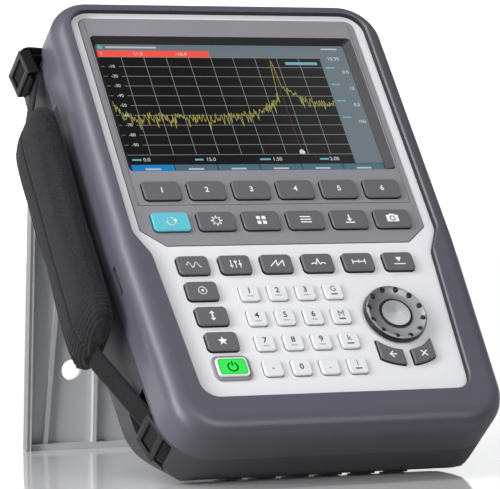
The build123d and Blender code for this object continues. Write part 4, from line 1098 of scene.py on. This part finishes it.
        rows = [grid_high - row * (grid_high - grid_low) / looks.rows for row in range(1, looks.rows)]
        texts = [(f"-{row * 10}", self.grid_text, left + 6.2, y, "CENTER") for row, y in enumerate(rows, 1)]
        texts += [(text, self.text, x, y, "CENTER") for text, x, y in self.numbers]
        texts += [(text, self.side_text, self.side_x, y, "RIGHT") for text, y in self.side_numbers]
        z, thick = face + self.number_z, self.number_t
        meshes = [lettering(text, size, x, y, z, thick, align) for text, size, x, y, align in texts]
        words = lit("screen_numbers", looks.words)
        put("screen_numbers", joined("screen_numbers", meshes), words, smooth=False)
        backs = [block(left + 2.2, y - 1.6, left + 10.4, y + 1.6) for y in rows]
        plate("screen_number_ground", backs, 3.4, looks.ground)
        bars = [block(edge + 8.0, 177.6, edge + 17.0, 178.7) for edge in edges[:-1]]
        bars += [block(-70.5, 264.0, -40.0, 265.2), block(62.0, 263.9, 72.0, 264.9)]
        plate("screen_light_bars", bars, 4, scaled(looks.words, 0.8))
        spans = ((-74.6, -69.2), (-37.5, -32.5), (1.5, 8.0), (38.0, 43.5))
        soft_bars = [block(start, 184.0, end, 185.2) for start, end in spans]
        soft_bars += [block(61.0, y - 0.5, 66.5, y + 0.5) for y in (250.6, 238.4, 226.4, 214.4)]
        soft_bars += [block(36.5, 252.6, 56.5, 254.6), disc(-73.6, 264.6, 1.5, 12)]
        plate("screen_soft_bars", soft_bars, 4, looks.dim_words)
        return {"FINISHED"}


class ANALYZER_OT_pad(bpy.types.Operator):
    """Make the padded handle: crowned cover, sewn channels, ribbed lower end and ribbed binding"""

    bl_idname = "analyzer.pad"
    bl_label = "Padded handle"

    # Millimetres: the two ends, half sizes of the section, its extra width in front, reach of the round ends
    low_y, high_y = 78.0, 233.0
    half_t, half_w, front_w = 7.4, 20.6, 7.0
    round_t, round_w = 16.0, 13.0
    # Sewn channels and stitch rows across the pad, and sizes of the channels and of the gathered lower end
    channels, stitch_rows = (-12.0, 2.0), (-10.2, 3.8)
    channel_w, channel_end, channel_side = 0.9, 6.0, 2.5
    gather_reach, gather_slant = 24.0, 0.22
    # Binding: turns round the section, how far it stands off outside and inside
    binding_turns = [radians(-160 + i * 5.2) for i in range(24)]
    binding_out, binding_in = 0.55, -0.35
    last_frame = 20

    def levels(self, margin, count):
        """Heights from near one end of the pad to near the other."""
        run = self.high_y - self.low_y - 2 * margin
        return [self.low_y + margin + i * run / (count - 1) for i in range(count)]

    def to_end(self, y):
        """Distance to the nearer end of the pad."""
        return min(y - self.low_y, self.high_y - y)

    def section(self, y, turn):
        """Point of the pad before it is filled: out from the case, and across towards the front."""
        shares = (min(self.to_end(y) / reach, 1.0) for reach in (self.round_t, self.round_w))
        full, broad = (sqrt(max(0.0, 1 - (1 - share) ** 2)) for share in shares)
        deep = self.half_t * (0.52 + 0.48 * full)
        wide = self.half_w * (0.73 + 0.27 * broad)
        c, s = cos(turn), sin(turn)
        if s > 0:
            wide += self.front_w * full
        return deep * copysign(abs(c) ** 0.55, c), wide * copysign(abs(s) ** 0.8, s)

    def sewn(self):
        """Closed cover as it is sewn, in metres up the case."""
        around, points = 60, []
        for y in self.levels(0.0, 64):
            for k in range(around):
                out, across = self.section(y, 2 * pi * k / around)
                points.append(((STRAP_X - out) / MM, y / MM, (STRAP_Z + across) / MM))
        return skinned("padded_handle", points, around)

    def filled(self, mesh, looks):
        """Cover after a cloth simulation under pressure, no point further than the reach from its start."""
        scene = bpy.context.scene
        holder = held("pad_fill", mesh)
        voxels = holder.modifiers.new("voxels", "REMESH")
        voxels.mode = "VOXEL"
        voxels.voxel_size = looks.voxel
        plain = settled(holder)
        holder.modifiers.clear()
        holder.data = plain
        start = [v.co.copy() for v in plain.vertices]
        cloth = holder.modifiers.new("fill", "CLOTH")
        cloth.settings.quality = 4
        cloth.settings.mass = looks.cloth_mass
        cloth.settings.use_pressure = True
        cloth.settings.uniform_pressure_force = looks.pressure
        cloth.settings.effector_weights.gravity = 0
        cloth.point_cache.frame_start = 1
        cloth.point_cache.frame_end = self.last_frame
        for step in range(1, self.last_frame + 1):
            scene.frame_set(step)
        plain = settled(holder)
        holder.modifiers.clear()
        scene.frame_set(1)
        holder.data = plain
        for vertex, first in zip(plain.vertices, start):
            move = vertex.co - first
            if move.length > looks.reach:
                vertex.co = first + move * (looks.reach / move.length)
        smooth = holder.modifiers.new("smooth", "SUBSURF")
        smooth.levels = smooth.render_levels = 2
        result = settled(holder)
        bpy.data.objects.remove(holder)
        result.transform(Matrix.Scale(MM, 4))
        return result

    def pressed(self, mesh, looks):
        """Presses the sewn channels and the gathers of the lower end into the filled cover."""
        normals = [vertex.normal.copy() for vertex in mesh.vertices]
        for vertex, normal in zip(mesh.vertices, normals):
            x, y, z = vertex.co
            across = z - STRAP_Z
            if x < STRAP_X:
                ends = min(1.0, max(0.0, self.to_end(y) / self.channel_end))
                for place in self.channels:
                    sunk = looks.seam_depth * MM * exp(-((across - place) / self.channel_w) ** 2) * ends
                    vertex.co.x += sunk * min(1.0, (STRAP_X - x) / self.channel_side)
            gather = max(0.0, 1 - (y - self.low_y) / self.gather_reach) ** 0.5
            ripple = sin(2 * pi * (y - self.gather_slant * across) / (looks.rib * MM))
            vertex.co += normal * (looks.rib_depth * MM) * gather * ripple

    def binding(self, skin):
        """Edging that wraps the edge away from the front, laid on the filled cover."""
        points, uvs = [], []
        sides = ((self.binding_out, self.binding_turns), (self.binding_in, self.binding_turns[::-1]))
        for y in self.levels(4.0, 111):
            for swell, turns in sides:
                for k, turn in enumerate(turns):
                    out, across = self.section(y, turn)
                    hit = skin.ray_cast((STRAP_X, y, STRAP_Z), (-out, 0, across))[0]
                    points.append(hit + Vector((-out, 0, across)).normalized() * swell)
                    uvs.append((y / MM, k / MM))
        return mapped_by(skinned("pad_binding", points, 2 * len(self.binding_turns)), uvs)

    def stitches(self, skin, looks, thread):
        """Rows of stitches beside the sewn channels."""
        tree, given = rule("stitch_row", Geometry="Geometry", Pitch="Float", Long="Float", Thick="Float")
        start = Shade(tree)
        path = start.node("GeometryNodeMeshToCurve", None, {"Mesh": given["Geometry"]})
        spacing = {"Curve": path, "Length": given["Pitch"]}
        spaced = start.node("GeometryNodeResampleCurve", {"mode": "LENGTH"}, spacing)
        stitch_size = {"Vertices": 6, "Radius": given["Thick"], "Depth": given["Long"]}
        stitch = start.node("GeometryNodeMeshCylinder", None, stitch_size)
        tangent = start.node("GeometryNodeInputTangent")
        aim = start.node("FunctionNodeAlignRotationToVector", {"axis": "Z"}, {"Vector": tangent})
        end_rule(tree, repeated(spaced, Instance=stitch, Rotation=aim), thread)
        values = {"Pitch": MM * looks.stitch, "Long": 0.62 * MM * looks.stitch, "Thick": 0.16}
        rows = []
        for across in self.stitch_rows:
            spots = []
            for y in self.levels(8.0, 140):
                hit = skin.ray_cast((STRAP_X, y, STRAP_Z + across), (-1, 0, 0))[0]
                spots.append(hit - Vector((0.04, 0, 0)))
            line = bpy.data.meshes.new("stitch_line")
            line.from_pydata(spots, [(i, i + 1) for i in range(len(spots) - 1)], [])
            rows.append(grown("stitches", tree, values, line))
        return joined("pad_stitches", rows)

    def execute(self, context):
        looks = context.scene.analyzer_strap
        mesh = self.filled(self.sewn(), looks)
        self.pressed(mesh, looks)
        skin = BVHTree.FromPolygons([v.co for v in mesh.vertices], [p.vertices for p in mesh.polygons])
        cover = woven("pad_cloth", looks.padding, 0.0011, 0.00010, mapped=False)
        pad = put("padded_cover", mesh, cover)
        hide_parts("padded_handle")
        ribs = ribbed("binding_ribs", looks.binding, 0.0012, 0.00012)
        put("pad_binding", self.binding(skin), ribs)
        thread = printed("sewing_thread", looks.thread)
        put("pad_stitches", self.stitches(skin, looks, thread), thread)
        return {"FINISHED"}


class ANALYZER_OT_webbing(bpy.types.Operator):
    """Lay the woven band from bar to bar, and round the buckles"""

    bl_idname = "analyzer.webbing"
    bl_label = "Webbing and buckles"

    # Each end of the strap in the front view, in millimetres and degrees: its bar and how the band leaves it,
    # its buckle and the buckle's angle, the inner side of the bar, then the leads to the pad and to the tail
    upper_end = ((-93.5, 279.5), 175.0, (-106.4, 271.0), 98.0, 1, -11.0, -11.0)
    lower_end = ((-84.0, 14.5), 150.0, (-91.0, 26.0), 108.0, -1, 11.0, 9.5)
    # Band: radius round a bar, gap of its second layer, ends of its run in the pad, its bends and its section
    wrap, layer, pad_ends = 2.7, 3.4, (236.0, 75.0)
    tail_bend, buckle_bend, pad_bend = 7.0, 3.4, 6.0
    half_w, half_t, soft_from, soft_w, across, least_run = 8.0, 0.8, 6.8, 1.2, 14, 0.25

    def aim(self, angle, run=1.0):
        """Step of a given length at an angle in the front view."""
        return Vector((run * cos(radians(angle)), run * sin(radians(angle))))

    def beside(self, place, angle, along, out):
        """Point near a strap fitting, up the strap and out from its main layer."""
        return Vector(place) + self.aim(angle, along) + self.aim(angle + 90, out)

    def meet(self, first, first_angle, second, second_angle):
        """Point where two sloping lines of the band cross."""
        u, v = self.aim(first_angle), self.aim(second_angle)
        gap = second - first
        reach = (gap.x * v.y - gap.y * v.x) / (u.x * v.y - u.y * v.x)
        return first + u * reach

    def rounded(self, corners, bends):
        """Points along straight runs with round bends between them."""
        points = [corners[0]]
        for before, corner, after, bend in zip(corners, corners[1:], corners[2:], bends):
            a, b = (before - corner).normalized(), (after - corner).normalized()
            half = a.angle(b) / 2
            back = min(bend / tan(half), 0.48 * (before - corner).length, 0.48 * (after - corner).length)
            start, end = corner + a * back, corner + b * back
            for t in (i / 8 for i in range(9)):
                points.append(start * (1 - t) ** 2 + corner * 2 * t * (1 - t) + end * t**2)
        return points + [corners[-1]]

    def around_bar(self, bar, angle, first):
        """Points half round a bar, from one side of the band to the other by the side away from its exit."""
        start = first - Vector(bar)
        away = self.aim(angle + 180)
        way = 1 if start.x * away.y - start.y * away.x > 0 else -1
        return [Vector(bar) + Matrix.Rotation(way * pi * i / 12, 2) @ start for i in range(1, 12)]

    def end(self, bar, leave, buckle, angle, inner_side, lead, tail):
        """Corners of the band at one end, from the bar: towards the pad, and out to its tail."""
        inner, outer = (self.beside(bar, leave, 0, self.wrap * side) for side in (inner_side, -inner_side))
        buckle = Vector(buckle)
        second = self.beside(buckle, angle, 0, self.layer)
        main_run = [inner, self.meet(inner, leave, buckle, angle), self.beside(buckle, angle, lead, 0)]
        tail_end = self.beside(buckle, angle, tail, self.layer)
        return main_run, [outer, self.meet(outer, leave, second, angle), tail_end]

    def path(self):
        """Points along the whole band, from its upper tail to its lower one."""
        upper_run, upper_tail = self.end(*self.upper_end)
        lower_run, lower_tail = self.end(*self.lower_end)
        middle = [Vector((STRAP_X, y)) for y in self.pad_ends]
        bends = [self.buckle_bend, *[self.pad_bend] * 4, self.buckle_bend]
        path = self.rounded(upper_tail[::-1], [self.tail_bend])
        path += self.around_bar(*self.upper_end[:2], upper_tail[0])
        path += self.rounded(upper_run + middle + lower_run[::-1], bends)
        path += self.around_bar(*self.lower_end[:2], lower_run[0])
        path += self.rounded(lower_tail, [self.tail_bend])
        kept = [path[0]]
        for point in path[1:]:
            if (point - kept[-1]).length > self.least_run:
                kept.append(point)
        return kept

    def band(self, path):
        """Flat band along a path, thinner towards its edges, with its own map in metres."""
        points, uvs, run = [], [], 0.0
        for i, point in enumerate(path):
            ahead = (path[min(i + 1, len(path) - 1)] - path[max(i - 1, 0)]).normalized()
            side = Vector((-ahead.y, ahead.x))
            if i:
                run += (point - path[i - 1]).length
            for face in (1, -1):
                for k in range(self.across + 1):
                    w = self.half_w * (2 * k / self.across - 1) * face
                    edge = self.half_t * (1 - 0.45 * max(0.0, (abs(w) - self.soft_from) / self.soft_w))
                    points.append((*(point + side * edge * face), STRAP_Z + w))
                    uvs.append((run / MM, w / MM))
        return mapped_by(skinned("strap_band", points, 2 * (self.across + 1)), uvs)

    def execute(self, context):
        looks = context.scene.analyzer_strap
        weave = woven("webbing_weave", looks.webbing, 0.0018, 0.00018, 0.5)
        band = put("strap_band", self.band(self.path()), weave)
        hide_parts("strap_webbing")
        plastic = moulded("buckle_plastic", looks.buckle, 0.38, 0.0005, 0.00002)
        mesh = softened("strap_buckles", "buckle_frames", 0.75)
        frames = put("buckle_frames", mesh, plastic)
        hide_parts("strap_buckles")
        return {"FINISHED"}


class ANALYZER_OT_stage(bpy.types.Operator):
    """Set the pale floor, the studio light and the camera"""

    bl_idname = "analyzer.stage"
    bl_label = "Stage"

    # Metres: half size of the floor, where it fades to white, and the backdrop's half width, place and height
    floor_half, fade_start, fade_end = 8, 0.16, 0.75
    wall_half, wall_y, wall_low, wall_high = 6, 2.4, -0.2, 0.6
    lit_middle = Vector((0.0, 0.0, 0.13))
    camera_place = (-0.73304, -1.66486, 0.19179)
    camera_turn = Quaternion((0.7049887, 0.6782669, -0.1434878, -0.1495200))

    def softbox(self, name, place, size, power):
        """Softbox turned towards the middle of the analyzer."""
        lamp = bpy.data.lights.new(name, "AREA")
        lamp.shape = "RECTANGLE"
        lamp.size, lamp.size_y = size
        lamp.energy = power
        holder = held(name, lamp)
        holder.location = place
        holder.rotation_euler = (self.lit_middle - Vector(place)).to_track_quat("-Z", "Y").to_euler()

    def sheet(self, name, corners, material):
        """Flat sheet of the studio."""
        mesh = bpy.data.meshes.new(name)
        mesh.from_pydata(corners, [], [(0, 1, 2, 3)])
        mesh.materials.append(material)
        return held(name, mesh)

    def pale_floor(self, looks):
        """Smooth pale floor that fades to white away from the analyzer, as the camera sees it."""
        constants = {"Base Color": tuple(looks.floor), "Roughness": 0.07, "Specular IOR Level": 0.5}
        material, shade, shader = surface("pale_floor", constants)
        gone = shade.node("ShaderNodeVectorMath", {"operation": "LENGTH"}, {0: shade.place()}, out=1)
        seen = shade.node("ShaderNodeLightPath", out="Is Camera Ray")
        fade = gone.step(self.fade_start, self.fade_end) * seen
        white = shade.node("ShaderNodeEmission", None, {"Color": (1, 1, 1, 1), "Strength": 1.0})
        glossy = Shade(material.node_tree, shader.outputs[0])
        mixed = shade.node("ShaderNodeMixShader", None, {0: fade, 1: glossy, 2: white})
        mixed.into(material.node_tree.nodes["Material Output"], "Surface")
        return material

    def studio(self, looks):
        """World with pale walls, which the camera sees as white."""
        world = bpy.data.worlds.new("studio")
        world.use_nodes = True
        world.node_tree.nodes.clear()
        walls = Shade(world.node_tree)
        seen, clear = (
            walls.node("ShaderNodeLightPath", out=ray) for ray in ("Is Camera Ray", "Is Transmission Ray")
        )
        plain, bright = (
            walls.node("ShaderNodeBackground", None, {"Color": tone, "Strength": strength})
            for tone, strength in (((0.95, 0.97, 1.0, 1), looks.ambient), ((1, 1, 1, 1), 1.0))
        )
        share = seen.math("MAXIMUM", clear)
        chosen = walls.node("ShaderNodeMixShader", None, {0: share, 1: plain, 2: bright})
        chosen.into(world.node_tree.nodes.new("ShaderNodeOutputWorld"), "Surface")
        return world

    def execute(self, context):
        looks = context.scene.analyzer_stage
        scene = context.scene
        half = self.floor_half
        corners = [(-half, -half, 0), (half, -half, 0), (half, half, 0), (-half, half, 0)]
        floor = self.sheet("floor", corners, self.pale_floor(looks))
        white = {"Base Color": (0.8, 0.8, 0.8), "Emission Color": (1, 1, 1), "Emission Strength": 1.0}
        outline = block(-self.wall_half, self.wall_low, self.wall_half, self.wall_high)
        corners = [(x, self.wall_y, z) for x, z in outline]
        wall = self.sheet("backdrop", corners, surface("white_paper", white)[0])
        scene.world = self.studio(looks)
        self.softbox("front_softbox", (0.3, -1.6, 0.85), (1.0, 0.8), looks.front_power)
        self.softbox("left_softbox", (-1.5, -0.45, 0.45), (0.6, 0.9), looks.side_power)
        self.softbox("left_strip", (-0.95, -0.1, 1.1), (0.24, 1.2), looks.strip_power)

        camera = bpy.data.cameras.new("camera")
        camera.lens = looks.lens
        camera.sensor_width = 36.0
        camera.clip_end = 50.0
        holder = held("camera", camera)
        holder.rotation_mode = "QUATERNION"
        holder.location = self.camera_place
        holder.rotation_quaternion = self.camera_turn
        scene.camera = holder
        scene.view_settings.view_transform = "Standard"
        return {"FINISHED"}


class ANALYZER_PT_dressing(bpy.types.Panel):
    """Sidebar list of the analyzer's pieces"""

    bl_idname = "ANALYZER_PT_dressing"
    bl_label = "Network analyzer"
    bl_space_type = "VIEW_3D"
    bl_region_type = "UI"
    bl_category = "Analyzer"

    def draw(self, context):
        for operator in OPERATORS:
            self.layout.operator(operator.bl_idname)


GROUPS = {
    "analyzer_housing": HousingLooks,
    "analyzer_keys": KeyLooks,
    "analyzer_knob": KnobLooks,
    "analyzer_screen": ScreenLooks,
    "analyzer_strap": StrapLooks,
    "analyzer_stage": StageLooks,
}
OPERATORS = (
    ANALYZER_OT_stage,
    ANALYZER_OT_housing,
    ANALYZER_OT_fittings,
    ANALYZER_OT_keys,
    ANALYZER_OT_legends,
    ANALYZER_OT_knob,
    ANALYZER_OT_screen,
    ANALYZER_OT_pad,
    ANALYZER_OT_webbing,
)
CLASSES = (*GROUPS.values(), *OPERATORS, ANALYZER_PT_dressing)


def register():
    """Registers the classes and hangs the groups on the scene."""
    for cls in CLASSES:
        bpy.utils.register_class(cls)
    for name, group in GROUPS.items():
        setattr(bpy.types.Scene, name, PointerProperty(type=group))


def unregister():
    """Takes it all away again."""
    for name in GROUPS:
        delattr(bpy.types.Scene, name)
    for cls in reversed(CLASSES):
        bpy.utils.unregister_class(cls)


def main():
    """Dresses the analyzer piece by piece."""
    register()
    bpy.ops.analyzer.stage()
    bpy.ops.analyzer.housing()
    bpy.ops.analyzer.fittings()
    bpy.ops.analyzer.keys()
    bpy.ops.analyzer.legends()
    bpy.ops.analyzer.knob()
    bpy.ops.analyzer.screen()
    bpy.ops.analyzer.pad()
    bpy.ops.analyzer.webbing()


if __name__ == "__main__":
    main()
